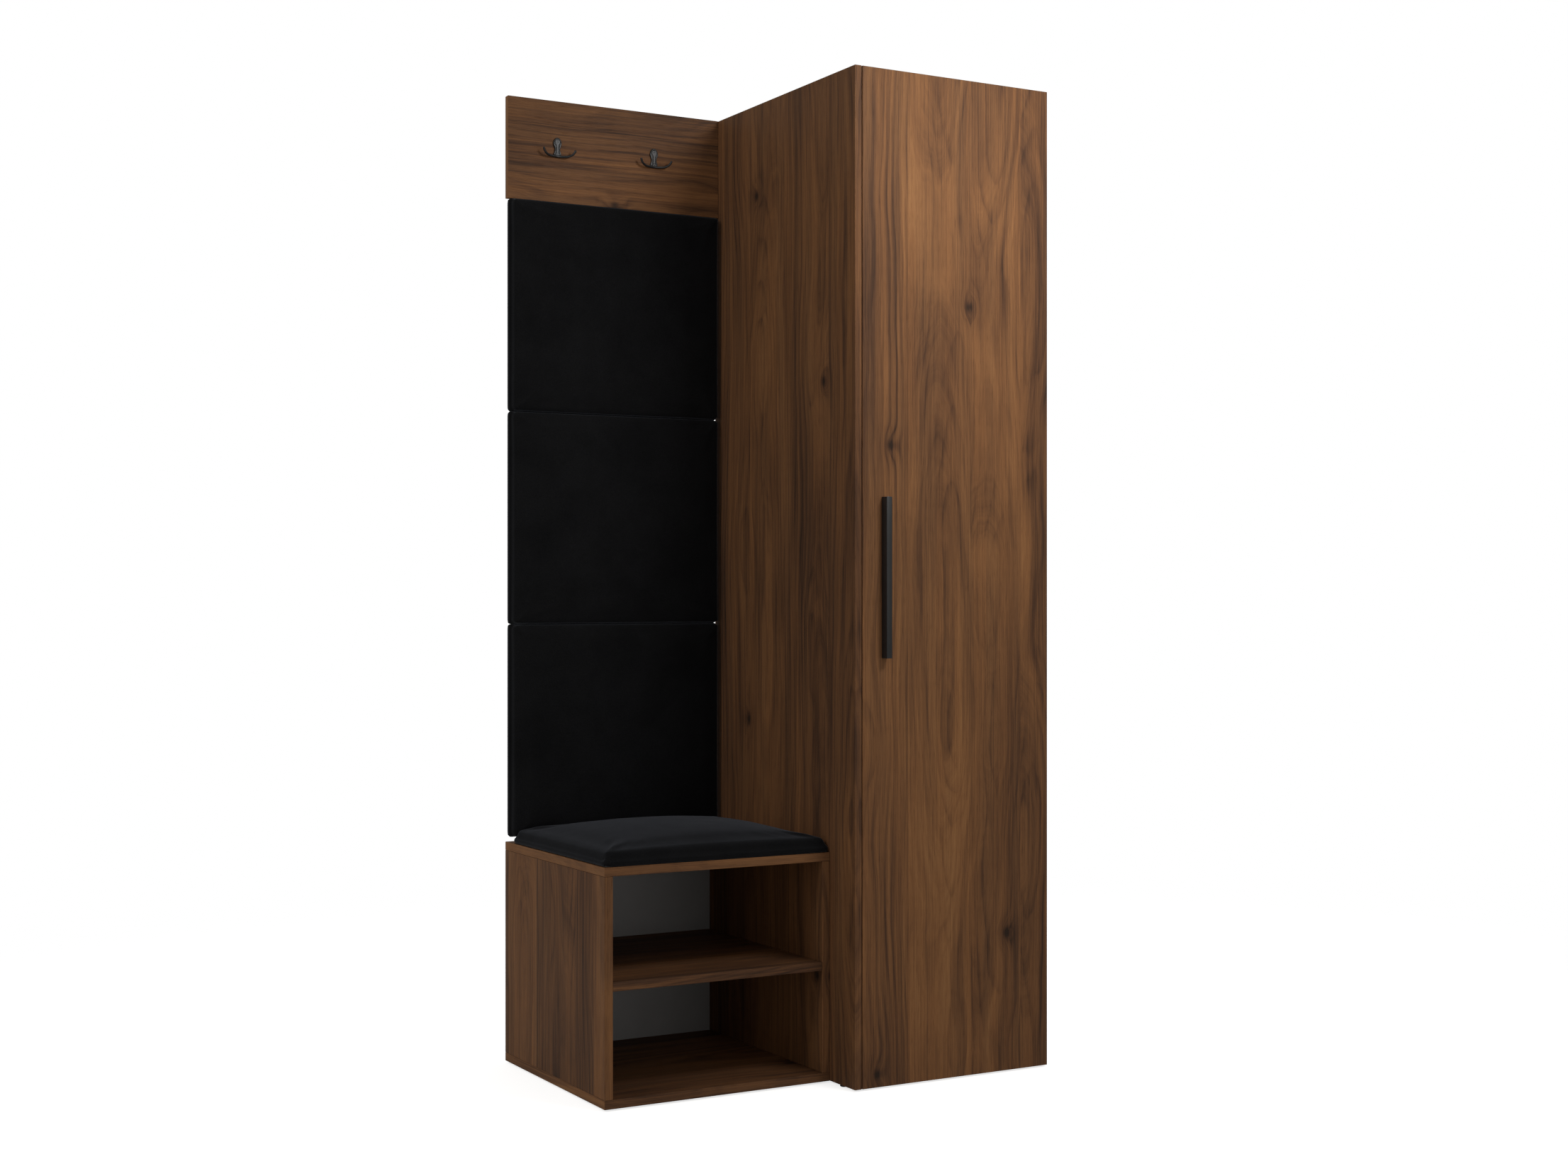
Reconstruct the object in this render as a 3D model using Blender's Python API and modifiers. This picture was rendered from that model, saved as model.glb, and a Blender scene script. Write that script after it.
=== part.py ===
"""Hallway set against a wall: an open shoe bench with a seat cushion, three upholstered wall
panels above it, a hook panel with two double coat hooks, and a tall wardrobe beside them whose
single door swings on four concealed hinges.

Metres, +Z up. X runs along the wall, -Y faces the room and the wall is at the back. The origin
is on the floor under the middle of the set.
"""

from math import cos, pi, radians, sin

import bmesh
import bpy
from mathutils import Matrix, Vector

# Fits. FIT is left between faces that touch.
FIT = 0.0003
SCREW_CLEARANCE = 0.0003

# Overall sizes.
HEIGHT = 2.100
BENCH_WIDTH = 0.515
BENCH_DEPTH = 0.515
BENCH_HEIGHT = 0.480
WARDROBE_WIDTH = 0.485
WARDROBE_DEPTH = 0.615

# Boards.
BENCH_BOARD = 0.018
WARDROBE_BOARD = 0.016
DOOR_BOARD = 0.016
HOOK_BOARD = 0.016
BACK_BOARD = 0.003
EDGE_ROUND = 0.0006
BACK_INSET = 0.005
GROOVE_DEPTH = 0.0055
GROOVE_CLEARANCE = 0.0005

# Glides under both carcasses.
GLIDE_HEIGHT = 0.004
GLIDE_RADIUS = 0.0075
GLIDE_INSET = 0.040

# Bench: height of the lower shoe bay.
LOWER_BAY = 0.213

# Upholstery. Each cover wraps a base board that lies in a pocket under the foam.
CUSHION_EDGE = 0.036
CUSHION_CROWN = 0.026
CUSHION_ROUND = 0.014
CUSHION_BOARD = 0.009
PANEL_COUNT = 3
PANEL_THICKNESS = 0.040
PANEL_SIDE_GAP = 0.004
PANEL_GAP = 0.0006
PANEL_FOOT_GAP = 0.011
PANEL_HEAD_GAP = 0.0006
PANEL_ROUND = 0.010
PANEL_BOARD = 0.010
COVER_WALL = 0.004

# Hook panel and its hooks.
HOOK_PANEL_HEIGHT = 0.222
HOOK_COUNT = 2
HOOK_FIRST = 0.115
HOOK_SPACING = 0.235
HOOK_FOOT = 0.0965
HOOK_PLATE = 0.0038
HOOK_ARM_RADIUS = 0.0026
HOOK_SCREW_HEIGHTS = (0.0085, 0.0350)
HOOK_SCREW_HEAD = 0.0031
HOOK_SCREW_SHANK = 0.0015
HOOK_SCREW_DEPTH = 0.0130

# Wardrobe interior.
DOOR_GAP = 0.002
LOWER_SPACE = 0.330
HAT_SPACE = 0.300
SHELF_SETBACK = 0.020
RAIL_DROP = 0.060
RAIL_RADIUS = 0.0125
RAIL_WALL = 0.0015
SOCKET_BASE = 0.003
SOCKET_LENGTH = 0.014
SOCKET_WALL = 0.002
SOCKET_FLANGE = 0.006
BRACKET_LEG = 0.040
BRACKET_WIDTH = 0.030
BRACKET_THICKNESS = 0.002

# Door handle.
HANDLE_LENGTH = 0.332
HANDLE_WIDTH = 0.013
HANDLE_PROUD = 0.021
HANDLE_INSET = 0.064
HANDLE_ROUND = 0.0010
HANDLE_HOLES = 0.288
HANDLE_SCREW_DEPTH = 0.010
HANDLE_SCREW_SHANK = 0.0018
HANDLE_SCREW_HEAD = 0.0042
HANDLE_SCREW_HEAD_HEIGHT = 0.0022
BUMPER_RADIUS = 0.004

# Concealed hinges. The door turns about a line AXIS_INSET inside its outer front corner.
HINGE_COUNT = 4
HINGE_END = 0.110
AXIS_INSET = 0.005
CUP_RADIUS = 0.0175
CUP_DEPTH = 0.0115
CUP_WALL = 0.0012
CUP_FLANGE = 0.0013
CUP_FLANGE_THICKNESS = 0.0008
CUP_EDGE = 0.005
PIN_RADIUS = 0.00125
PIN_CLEARANCE = 0.0002
PIN_FROM_RIM = 0.0055
PIN_BELOW_FACE = 0.005
LINK_THICKNESS = 0.0018
LINK_WIDTH = 0.009
LINK_EYE = 0.0024
LINK_TURN = radians(130.2)
ARM_FRONT = 0.0010
ARM_LENGTH = 0.046
ARM_REACH = 0.0235
ARM_WALL = 0.0012
ARM_SIDE_PLAY = 0.0007
PLATE_THICKNESS = 0.002
PLATE_SETBACK = 0.008
PLATE_LENGTH = 0.040
PLATE_HEIGHT = 0.044

# Places that follow from the sizes.
left = -(BENCH_WIDTH + WARDROBE_WIDTH) / 2
right = -left
wardrobe_left = left + BENCH_WIDTH
bench_right = wardrobe_left - FIT
wall = (WARDROBE_DEPTH + HANDLE_PROUD) / 2
bench_front = wall - BENCH_DEPTH
door_front = wall - WARDROBE_DEPTH
door_back = door_front + DOOR_BOARD
carcass_front = door_back + DOOR_GAP
back_rear = wall - BACK_INSET
back_face = back_rear - BACK_BOARD
bench_inner_left = left + BENCH_BOARD
bench_inner_right = bench_right - BENCH_BOARD
bench_floor = GLIDE_HEIGHT + BENCH_BOARD
bench_ceiling = BENCH_HEIGHT - BENCH_BOARD
inner_left = wardrobe_left + WARDROBE_BOARD
inner_right = right - WARDROBE_BOARD
wardrobe_floor = GLIDE_HEIGHT + WARDROBE_BOARD
wardrobe_ceiling = HEIGHT - WARDROBE_BOARD
hook_panel_foot = HEIGHT - HOOK_PANEL_HEIGHT
hook_panel_front = wall - HOOK_BOARD
panel_space = hook_panel_foot - PANEL_HEAD_GAP - BENCH_HEIGHT - PANEL_FOOT_GAP
panel_height = (panel_space - (PANEL_COUNT - 1) * PANEL_GAP) / PANEL_COUNT
door_left = inner_left + DOOR_GAP
door_middle = (GLIDE_HEIGHT + HEIGHT) / 2
handle_x = wardrobe_left + HANDLE_INSET + HANDLE_WIDTH / 2
handle_screw_heights = [door_middle - HANDLE_HOLES / 2, door_middle + HANDLE_HOLES / 2]
hinge_step = (HEIGHT - GLIDE_HEIGHT - 2 * HINGE_END) / (HINGE_COUNT - 1)
hinge_heights = [GLIDE_HEIGHT + HINGE_END + n * hinge_step for n in range(HINGE_COUNT)]
cup_x = right - CUP_EDGE - CUP_RADIUS
door_axis_place = Vector((right - AXIS_INSET, door_front + AXIS_INSET, 0))
link_axis_place = Vector((right - CUP_EDGE - PIN_FROM_RIM, door_back - PIN_BELOW_FACE, 0))

# Finishes: colour, roughness, metallic.
WALNUT = ((0.150, 0.072, 0.036), 0.50, 0.0)
VELVET = ((0.008, 0.008, 0.010), 0.95, 0.0)
HARDBOARD = ((0.420, 0.410, 0.400), 0.60, 0.0)
PLYWOOD = ((0.480, 0.360, 0.220), 0.70, 0.0)
BLACK_METAL = ((0.012, 0.012, 0.012), 0.42, 0.6)
BRIGHT_METAL = ((0.600, 0.600, 0.600), 0.30, 1.0)
GREY_METAL = ((0.350, 0.350, 0.360), 0.38, 1.0)
BLACK_PLASTIC = ((0.020, 0.020, 0.020), 0.55, 0.0)
CLEAR_PLASTIC = ((0.700, 0.700, 0.680), 0.40, 0.0)


def clear_scene():
    for obj in list(bpy.data.objects):
        bpy.data.objects.remove(obj)


def new_collection(name):
    collection = bpy.data.collections.new(name)
    bpy.context.scene.collection.children.link(collection)
    return collection


clear_scene()
parts = new_collection("hallway_set")
cutters = new_collection("cutters")


# ---- Tools for making pieces ----


def add_part(name, mesh, finish, place=(0, 0, 0)):
    """A named sub-part with its own material, set by its location."""
    colour, roughness, metallic = finish
    material = bpy.data.materials.new(name)
    material.use_nodes = True
    shader = material.node_tree.nodes["Principled BSDF"]
    shader.inputs["Base Color"].default_value = (*colour, 1.0)
    shader.inputs["Roughness"].default_value = roughness
    shader.inputs["Metallic"].default_value = metallic
    obj = bpy.data.objects.new(name, mesh)
    obj.location = place
    # A mesh shared by several objects keeps each one's material on its object.
    if not mesh.materials:
        mesh.materials.append(None)
    obj.material_slots[0].link = "OBJECT"
    obj.material_slots[0].material = material
    parts.objects.link(obj)
    return obj


def add_helper(name, mesh, place=(0, 0, 0)):
    """A cutter or a prototype, which isn't part of the set."""
    obj = bpy.data.objects.new(name, mesh)
    obj.location = place
    obj.hide_render = True
    obj.display_type = "WIRE"
    cutters.objects.link(obj)
    return obj


def mesh_from(name, build):
    """A mesh filled by build, which gets an empty bmesh."""
    bm = bmesh.new()
    build(bm)
    mesh = bpy.data.meshes.new(name)
    bm.to_mesh(mesh)
    bm.free()
    return mesh


def middle_and_size(low, high):
    middle = [(a + b) / 2 for a, b in zip(low, high)]
    size = [b - a for a, b in zip(low, high)]
    return middle, size


def box_mesh(name, size):
    scale = Matrix.Diagonal((*size, 1.0))
    return mesh_from(name, lambda bm: bmesh.ops.create_cube(bm, size=1.0, matrix=scale))


def add_bevel(obj, width, segments=1):
    bevel = obj.modifiers.new("eased edges", "BEVEL")
    bevel.width = width
    bevel.segments = segments
    bevel.limit_method = "ANGLE"
    bevel.angle_limit = radians(30)


def add_board(name, low, high, finish, edge=EDGE_ROUND):
    """A rectangular board between two corners, with its edges eased."""
    middle, size = middle_and_size(low, high)
    obj = add_part(name, box_mesh(name, size), finish, middle)
    if edge:
        add_bevel(obj, edge)
    return obj


def box_cutter(name, low, high):
    middle, size = middle_and_size(low, high)
    return add_helper(name, box_mesh(name, size), middle)


def rods_mesh(name, rods, turn=Matrix.Identity(4), segments=20):
    """Cylinders in one mesh, each (centre, radius, length), along Z unless turned."""

    def build(bm):
        for centre, radius, length in rods:
            place = Matrix.Translation(centre) @ turn
            bmesh.ops.create_cone(
                bm,
                cap_ends=True,
                segments=segments,
                radius1=radius,
                radius2=radius,
                depth=length,
                matrix=place,
            )

    return mesh_from(name, build)


along_y = Matrix.Rotation(radians(90), 4, "X")


def boolean(obj, other, operation="DIFFERENCE"):
    modifier = obj.modifiers.new(operation.lower() + " " + other.name, "BOOLEAN")
    modifier.operation = operation
    modifier.object = other


def turned_mesh(name, profile, closed=False, segments=24):
    """A turned mesh about Z: (radius, height) points that run down the outer side."""
    count = len(profile)
    edges = [(n, n + 1) for n in range(count - 1)]
    if closed:
        edges.append((count - 1, 0))
    mesh = bpy.data.meshes.new(name)
    mesh.from_pydata([(radius, 0, height) for radius, height in profile], edges, [])
    obj = add_helper(name, mesh)
    screw = obj.modifiers.new("turn", "SCREW")
    screw.steps = segments
    screw.render_steps = segments
    screw.use_merge_vertices = True
    screw.merge_threshold = 0.00005
    return finished_mesh(obj)


def finished_mesh(obj, *used):
    """The mesh that a helper ends up with, after which it and the helpers it used are removed."""
    bpy.context.view_layer.update()
    graph = bpy.context.evaluated_depsgraph_get()
    mesh = bpy.data.meshes.new_from_object(obj.evaluated_get(graph))
    mesh.transform(obj.matrix_world)
    bm = bmesh.new()
    bm.from_mesh(mesh)
    bmesh.ops.remove_doubles(bm, verts=bm.verts, dist=0.00001)
    bmesh.ops.recalc_face_normals(bm, faces=bm.faces)
    bm.to_mesh(mesh)
    bm.free()
    for helper in (obj, *used):
        bpy.data.objects.remove(helper)
    return mesh


def smooth(mesh):
    mesh.shade_smooth()
    mesh.set_sharp_from_angle(angle=radians(35))
    return mesh


def add_axis(name, place, parent=None):
    """An empty on a joint's axis, which the pieces of a moving body hang from."""
    axis = bpy.data.objects.new(name, None)
    axis.empty_display_size = 0.05
    parts.objects.link(axis)
    axis.location = place
    if parent:
        hang(axis, parent)
    return axis


def hang(obj, axis):
    """Parents obj to an axis and leaves it where it is."""
    above = axis
    while above:
        obj.location -= above.location
        above = above.parent
    obj.parent = axis


# ---- Shoe bench: boards, back panel and glides ----


def add_bench():
    side_low = bench_floor + FIT
    side_high = bench_ceiling - FIT
    boards = [
        add_board(
            "bench_bottom",
            (left, bench_front, GLIDE_HEIGHT),
            (bench_right, wall, bench_floor),
            WALNUT,
        ),
        add_board(
            "bench_top",
            (left, bench_front, bench_ceiling),
            (bench_right, wall, BENCH_HEIGHT),
            WALNUT,
        ),
        add_board(
            "bench_side_left",
            (left, bench_front, side_low),
            (bench_inner_left, wall, side_high),
            WALNUT,
        ),
        add_board(
            "bench_side_right",
            (bench_inner_right, bench_front, side_low),
            (bench_right, wall, side_high),
            WALNUT,
        ),
    ]
    add_board(
        "bench_shelf",
        (bench_inner_left + FIT, bench_front, bench_floor + LOWER_BAY),
        (bench_inner_right - FIT, back_face - FIT, bench_floor + LOWER_BAY + BENCH_BOARD),
        WALNUT,
    )
    add_grooved_back(
        "bench_back",
        (bench_inner_left, bench_floor),
        (bench_inner_right, bench_ceiling),
        boards,
    )


def add_grooved_back(name, low, high, boards):
    """A thin back panel whose four edges lie in grooves in the boards around it."""
    tongue = GROOVE_DEPTH - GROOVE_CLEARANCE
    panel_low = (low[0] - tongue, back_face, low[1] - tongue)
    panel_high = (high[0] + tongue, back_rear, high[1] + tongue)
    add_board(name, panel_low, panel_high, HARDBOARD, edge=0)
    groove = box_cutter(
        name + "_groove",
        (low[0] - GROOVE_DEPTH, back_face - FIT, low[1] - GROOVE_DEPTH),
        (high[0] + GROOVE_DEPTH, back_rear + FIT, high[1] + GROOVE_DEPTH),
    )
    for board in boards:
        boolean(board, groove)


def add_glides(name, spots):
    """Nail-on glides, one under each (x, y) spot."""
    profile = [
        (0, GLIDE_HEIGHT - FIT),
        (GLIDE_RADIUS, GLIDE_HEIGHT - FIT),
        (GLIDE_RADIUS, GLIDE_HEIGHT * 0.3),
        (GLIDE_RADIUS * 0.8, 0),
        (0, 0),
    ]
    mesh = smooth(turned_mesh(name, profile, segments=16))
    for number, (x, y) in enumerate(spots, 1):
        add_part(f"{name}_{number}", mesh, BLACK_PLASTIC, (x, y, 0))


# ---- Upholstery: the seat cushion and the wall panels ----


def add_cushion():
    """A crowned foam cushion whose cover wraps its base board, flush with the bench's edges."""
    front = bench_front + FIT
    rear = wall - PANEL_THICKNESS - FIT
    width = bench_right - left
    depth = rear - front
    middle = ((left + bench_right) / 2, (front + rear) / 2, BENCH_HEIGHT + FIT)

    def build(bm):
        size = Matrix.Diagonal((width, depth, CUSHION_EDGE, 1.0))
        lift = Matrix.Translation((0, 0, CUSHION_EDGE / 2))
        bmesh.ops.create_cube(bm, size=1.0, matrix=lift @ size)
        upright = [e for e in bm.edges if abs(e.verts[0].co.z - e.verts[1].co.z) > FIT]
        round_edges(bm, upright, CUSHION_ROUND)
        flat = [e for e in bm.edges if all(v.co.z > CUSHION_EDGE - FIT for v in e.verts)]
        round_edges(bm, flat, CUSHION_ROUND)
        for cut in range(1, 8):
            share = cut / 8 - 0.5
            for normal, reach in ((Vector((1, 0, 0)), width), (Vector((0, 1, 0)), depth)):
                geometry = [*bm.verts, *bm.edges, *bm.faces]
                inner = reach - 2 * CUSHION_ROUND
                bmesh.ops.bisect_plane(
                    bm, geom=geometry, plane_co=normal * share * inner, plane_no=normal
                )
        for vert in bm.verts:
            across = min(abs(vert.co.x) / (width / 2), 1)
            along = min(abs(vert.co.y) / (depth / 2), 1)
            height_share = vert.co.z / CUSHION_EDGE
            crown = cos(across * pi / 2) * cos(along * pi / 2)
            vert.co.z += CUSHION_CROWN * crown * height_share

    cushion = add_part("seat_cushion", mesh_from("seat_cushion", build), VELVET, middle)
    low = (left + COVER_WALL, front + COVER_WALL, BENCH_HEIGHT + FIT)
    high = (bench_right - COVER_WALL, rear - COVER_WALL, BENCH_HEIGHT + FIT + CUSHION_BOARD)
    pocket = box_cutter(
        "seat_pocket",
        (low[0] - FIT, low[1] - FIT, low[2] - CUSHION_BOARD),
        (high[0] + FIT, high[1] + FIT, high[2] + FIT),
    )
    boolean(cushion, pocket)
    add_board("seat_base_board", low, high, PLYWOOD)


def round_edges(bm, edges, width, segments=3):
    bmesh.ops.bevel(
        bm,
        geom=edges,
        offset=width,
        offset_type="OFFSET",
        segments=segments,
        profile=0.5,
        affect="EDGES",
        material=-1,
    )


def add_wall_panel(number, foot):
    """An upholstered panel whose cover wraps a base board that hangs flat on the wall."""
    low = Vector((left + PANEL_SIDE_GAP, wall - PANEL_THICKNESS, foot))
    high = Vector((bench_right - PANEL_SIDE_GAP, wall, foot + panel_height))

    def build(bm):
        size = Matrix.Diagonal((*(high - low), 1.0))
        bmesh.ops.create_cube(bm, size=1.0, matrix=size)
        corners = [e for e in bm.edges if abs(e.verts[0].co.y - e.verts[1].co.y) > FIT]
        round_edges(bm, corners, PANEL_ROUND)
        rim = [e for e in bm.edges if all(v.co.y < FIT - PANEL_THICKNESS / 2 for v in e.verts)]
        round_edges(bm, rim, PANEL_ROUND)

    name = f"wall_panel_pad_{number}"
    pad = add_part(name, mesh_from(name, build), VELVET, (low + high) / 2)
    wall_margin = Vector((COVER_WALL, 0, COVER_WALL))
    board_low = Vector((low.x, wall - PANEL_BOARD, low.z)) + wall_margin
    board_high = high - wall_margin
    play = Vector((FIT, FIT, FIT))
    pocket = box_cutter(
        f"panel_pocket_{number}",
        board_low - play,
        board_high + play + Vector((0, PANEL_BOARD, 0)),
    )
    boolean(pad, pocket)
    add_board(f"wall_panel_board_{number}", board_low, board_high, PLYWOOD, edge=0)


# ---- Hook panel, coat hooks and their screws ----


def hook_screw_places():
    """(hook x, screw height) of every screw that holds a hook."""
    foot = hook_panel_foot + HOOK_FOOT
    hooks = [left + HOOK_FIRST + n * HOOK_SPACING for n in range(HOOK_COUNT)]
    return [(x, foot + height) for x in hooks for height in HOOK_SCREW_HEIGHTS]


def add_hook_panel():
    panel = add_board(
        "hook_panel",
        (left, hook_panel_front, hook_panel_foot),
        (bench_right, wall, HEIGHT),
        WALNUT,
    )
    bore = HOOK_SCREW_SHANK + SCREW_CLEARANCE
    depth = HOOK_SCREW_DEPTH + SCREW_CLEARANCE
    rods = [((x, hook_panel_front, z), bore, 2 * depth) for x, z in hook_screw_places()]
    boolean(panel, add_helper("hook_panel_bores", rods_mesh("bores", rods, along_y)))


def hook_plate_helper():
    """A keyhole-shaped plate that stands on the panel's face, its foot at the origin."""
    outline = [
        (0, 0.0445),
        (0.0094, 0.0350),
        (0.0062, 0.0185),
        (0.0080, 0.0050),
        (0, 0.0004),
        (-0.0080, 0.0050),
        (-0.0062, 0.0185),
        (-0.0094, 0.0350),
    ]
    curve = bpy.data.curves.new("hook_plate", "CURVE")
    curve.dimensions = "2D"
    curve.fill_mode = "BOTH"
    curve.resolution_u = 5
    edge = 0.0008
    curve.extrude = HOOK_PLATE / 2 - edge
    curve.bevel_depth = edge
    curve.bevel_resolution = 1
    curve.offset = -edge
    spline = curve.splines.new("BEZIER")
    spline.bezier_points.add(len(outline) - 1)
    for point, place in zip(spline.bezier_points, outline):
        point.co = (*place, 0)
        point.handle_left_type = "AUTO"
        point.handle_right_type = "AUTO"
    spline.use_cyclic_u = True
    plate = add_helper("hook_plate", curve, (0, -FIT - HOOK_PLATE / 2, 0))
    plate.rotation_euler.x = radians(90)
    return add_helper("hook_plate_solid", finished_mesh(plate))


def hook_arms_helper():
    """Both arms as one round bar: out sideways from the plate's foot, forward and up."""
    half = [
        (0, 0.0030, 0.0034, 1.10),
        (0.0120, 0.0052, 0.0032, 1.05),
        (0.0250, 0.0092, 0.0047, 1.00),
        (0.0335, 0.0130, 0.0098, 1.00),
        (0.0374, 0.0152, 0.0165, 0.95),
        (0.0383, 0.0158, 0.0186, 0.55),
    ]
    points = [(-x, y, z, share) for x, y, z, share in half[:0:-1]] + half
    curve = bpy.data.curves.new("hook_arms", "CURVE")
    curve.dimensions = "3D"
    curve.resolution_u = 3
    curve.bevel_depth = HOOK_ARM_RADIUS
    curve.bevel_resolution = 2
    curve.use_fill_caps = True
    spline = curve.splines.new("BEZIER")
    spline.bezier_points.add(len(points) - 1)
    for point, (x, forward, z, share) in zip(spline.bezier_points, points):
        point.co = (x, -forward, z)
        point.radius = share
        point.handle_left_type = "AUTO"
        point.handle_right_type = "AUTO"
    return add_helper("hook_arms_solid", finished_mesh(add_helper("hook_arms", curve)))


def countersunk_profile(head, shank, depth, rise):
    """Down a countersunk screw from its face to its tip; rise carries the face forward."""
    return [
        (0, HOOK_PLATE + rise),
        (head, HOOK_PLATE + rise),
        (head, HOOK_PLATE),
        (shank, HOOK_PLATE - (head - shank)),
        (shank, -depth),
        (0, -depth),
    ]


def add_hooks():
    toward_room = Matrix.Rotation(radians(90), 4, "X")
    play = SCREW_CLEARANCE
    sink = countersunk_profile(
        HOOK_SCREW_HEAD + play, HOOK_SCREW_SHANK + play, HOOK_SCREW_DEPTH, HOOK_PLATE
    )
    sink_mesh = turned_mesh("hook_sink", sink, segments=16)
    sink_mesh.transform(toward_room)
    plate = hook_plate_helper()
    arms = hook_arms_helper()
    boolean(plate, arms, "UNION")
    sinks = [add_helper("hook_sink", sink_mesh, (0, 0, z)) for z in HOOK_SCREW_HEIGHTS]
    for sink in sinks:
        boolean(plate, sink)
    hook_mesh = smooth(finished_mesh(plate, arms, *sinks))
    foot = hook_panel_foot + HOOK_FOOT
    for number in range(HOOK_COUNT):
        place = (left + HOOK_FIRST + number * HOOK_SPACING, hook_panel_front, foot)
        add_part(f"coat_hook_{number + 1}", hook_mesh, BLACK_METAL, place)

    screw = countersunk_profile(HOOK_SCREW_HEAD, HOOK_SCREW_SHANK, HOOK_SCREW_DEPTH, 0)
    del screw[1]
    screw_mesh = smooth(turned_mesh("hook_screw", screw, segments=16))
    screw_mesh.transform(toward_room)
    for number, (x, z) in enumerate(hook_screw_places(), 1):
        add_part(f"hook_screw_{number}", screw_mesh, BLACK_METAL, (x, hook_panel_front, z))


# ---- Wardrobe carcass and what is inside it ----


def add_wardrobe():
    boards = [
        add_board(
            "wardrobe_side_left",
            (wardrobe_left, door_front, GLIDE_HEIGHT),
            (inner_left, wall, HEIGHT),
            WALNUT,
        ),
        add_board(
            "wardrobe_side_right",
            (inner_right, carcass_front, GLIDE_HEIGHT),
            (right, wall, HEIGHT),
            WALNUT,
        ),
        add_board(
            "wardrobe_bottom",
            (inner_left + FIT, carcass_front, GLIDE_HEIGHT),
            (inner_right - FIT, wall, wardrobe_floor),
            WALNUT,
        ),
        add_board(
            "wardrobe_top",
            (inner_left + FIT, carcass_front, wardrobe_ceiling),
            (inner_right - FIT, wall, HEIGHT),
            WALNUT,
        ),
    ]
    add_grooved_back(
        "wardrobe_back",
        (inner_left, wardrobe_floor),
        (inner_right, wardrobe_ceiling),
        boards,
    )
    add_inner_shelf("lower_shelf", wardrobe_floor + LOWER_SPACE)
    add_inner_shelf("hat_shelf", wardrobe_ceiling - HAT_SPACE - WARDROBE_BOARD)


def add_inner_shelf(name, underside):
    add_board(
        name,
        (inner_left + FIT, carcass_front + SHELF_SETBACK, underside),
        (inner_right - FIT, back_face - FIT, underside + WARDROBE_BOARD),
        WALNUT,
    )


def add_rail():
    """A round hanging rail between two sockets on the wardrobe's sides."""
    y = (carcass_front + back_face) / 2
    z = wardrobe_ceiling - HAT_SPACE - WARDROBE_BOARD - RAIL_DROP
    inside = RAIL_RADIUS + FIT
    collar = inside + SOCKET_WALL
    socket = [
        (0, SOCKET_BASE),
        (inside, SOCKET_BASE),
        (inside, SOCKET_LENGTH),
        (collar, SOCKET_LENGTH),
        (collar, SOCKET_BASE),
        (collar + SOCKET_FLANGE, SOCKET_BASE),
        (collar + SOCKET_FLANGE, 0),
        (0, 0),
    ]
    socket_mesh = smooth(turned_mesh("rail_socket", socket))
    for name, x, turn in (
        ("rail_socket_left", inner_left + FIT, radians(90)),
        ("rail_socket_right", inner_right - FIT, radians(-90)),
    ):
        mesh = socket_mesh.copy()
        mesh.transform(Matrix.Rotation(turn, 4, "Y"))
        add_part(name, mesh, GREY_METAL, (x, y, z))

    half = (inner_right - inner_left) / 2 - SOCKET_BASE - 2 * FIT
    bore = RAIL_RADIUS - RAIL_WALL
    tube = [(RAIL_RADIUS, half), (RAIL_RADIUS, -half), (bore, -half), (bore, half)]
    rail_mesh = smooth(turned_mesh("hanging_rail", tube, closed=True))
    rail_mesh.transform(Matrix.Rotation(radians(90), 4, "Y"))
    add_part("hanging_rail", rail_mesh, BRIGHT_METAL, ((inner_left + inner_right) / 2, y, z))


def add_wall_bracket():
    """A steel angle under the top board that holds the wardrobe to the wall."""
    x = (inner_left + inner_right) / 2
    corner_y = back_face - FIT
    corner_z = wardrobe_ceiling - FIT
    bracket = box_cutter(
        "bracket_block",
        (x - BRACKET_WIDTH / 2, corner_y - BRACKET_LEG, corner_z - BRACKET_LEG),
        (x + BRACKET_WIDTH / 2, corner_y, corner_z),
    )
    hollow = box_cutter(
        "bracket_hollow",
        (x - BRACKET_WIDTH, corner_y - 2 * BRACKET_LEG, corner_z - 2 * BRACKET_LEG),
        (x + BRACKET_WIDTH, corner_y - BRACKET_THICKNESS, corner_z - BRACKET_THICKNESS),
    )
    boolean(bracket, hollow)
    add_part("wall_bracket", finished_mesh(bracket, hollow), BRIGHT_METAL)


# ---- Door, handle and bumpers, which hang from the door's axis ----


def add_door(axis):
    door = add_board(
        "door",
        (door_left, door_front, GLIDE_HEIGHT),
        (right, door_back, HEIGHT),
        WALNUT,
    )
    cup_bore = CUP_RADIUS + FIT
    cup_depth = CUP_DEPTH + FIT
    cups = [((cup_x, door_back, z), cup_bore, 2 * cup_depth) for z in hinge_heights]
    boolean(door, add_helper("cup_bores", rods_mesh("cup_bores", cups, along_y, 32)))
    bore = HANDLE_SCREW_SHANK + SCREW_CLEARANCE
    holes = [
        ((handle_x, (door_front + door_back) / 2, z), bore, 2 * DOOR_BOARD)
        for z in handle_screw_heights
    ]
    boolean(door, add_helper("handle_bores", rods_mesh("handle_bores", holes, along_y)))
    hang(door, axis)


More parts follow.
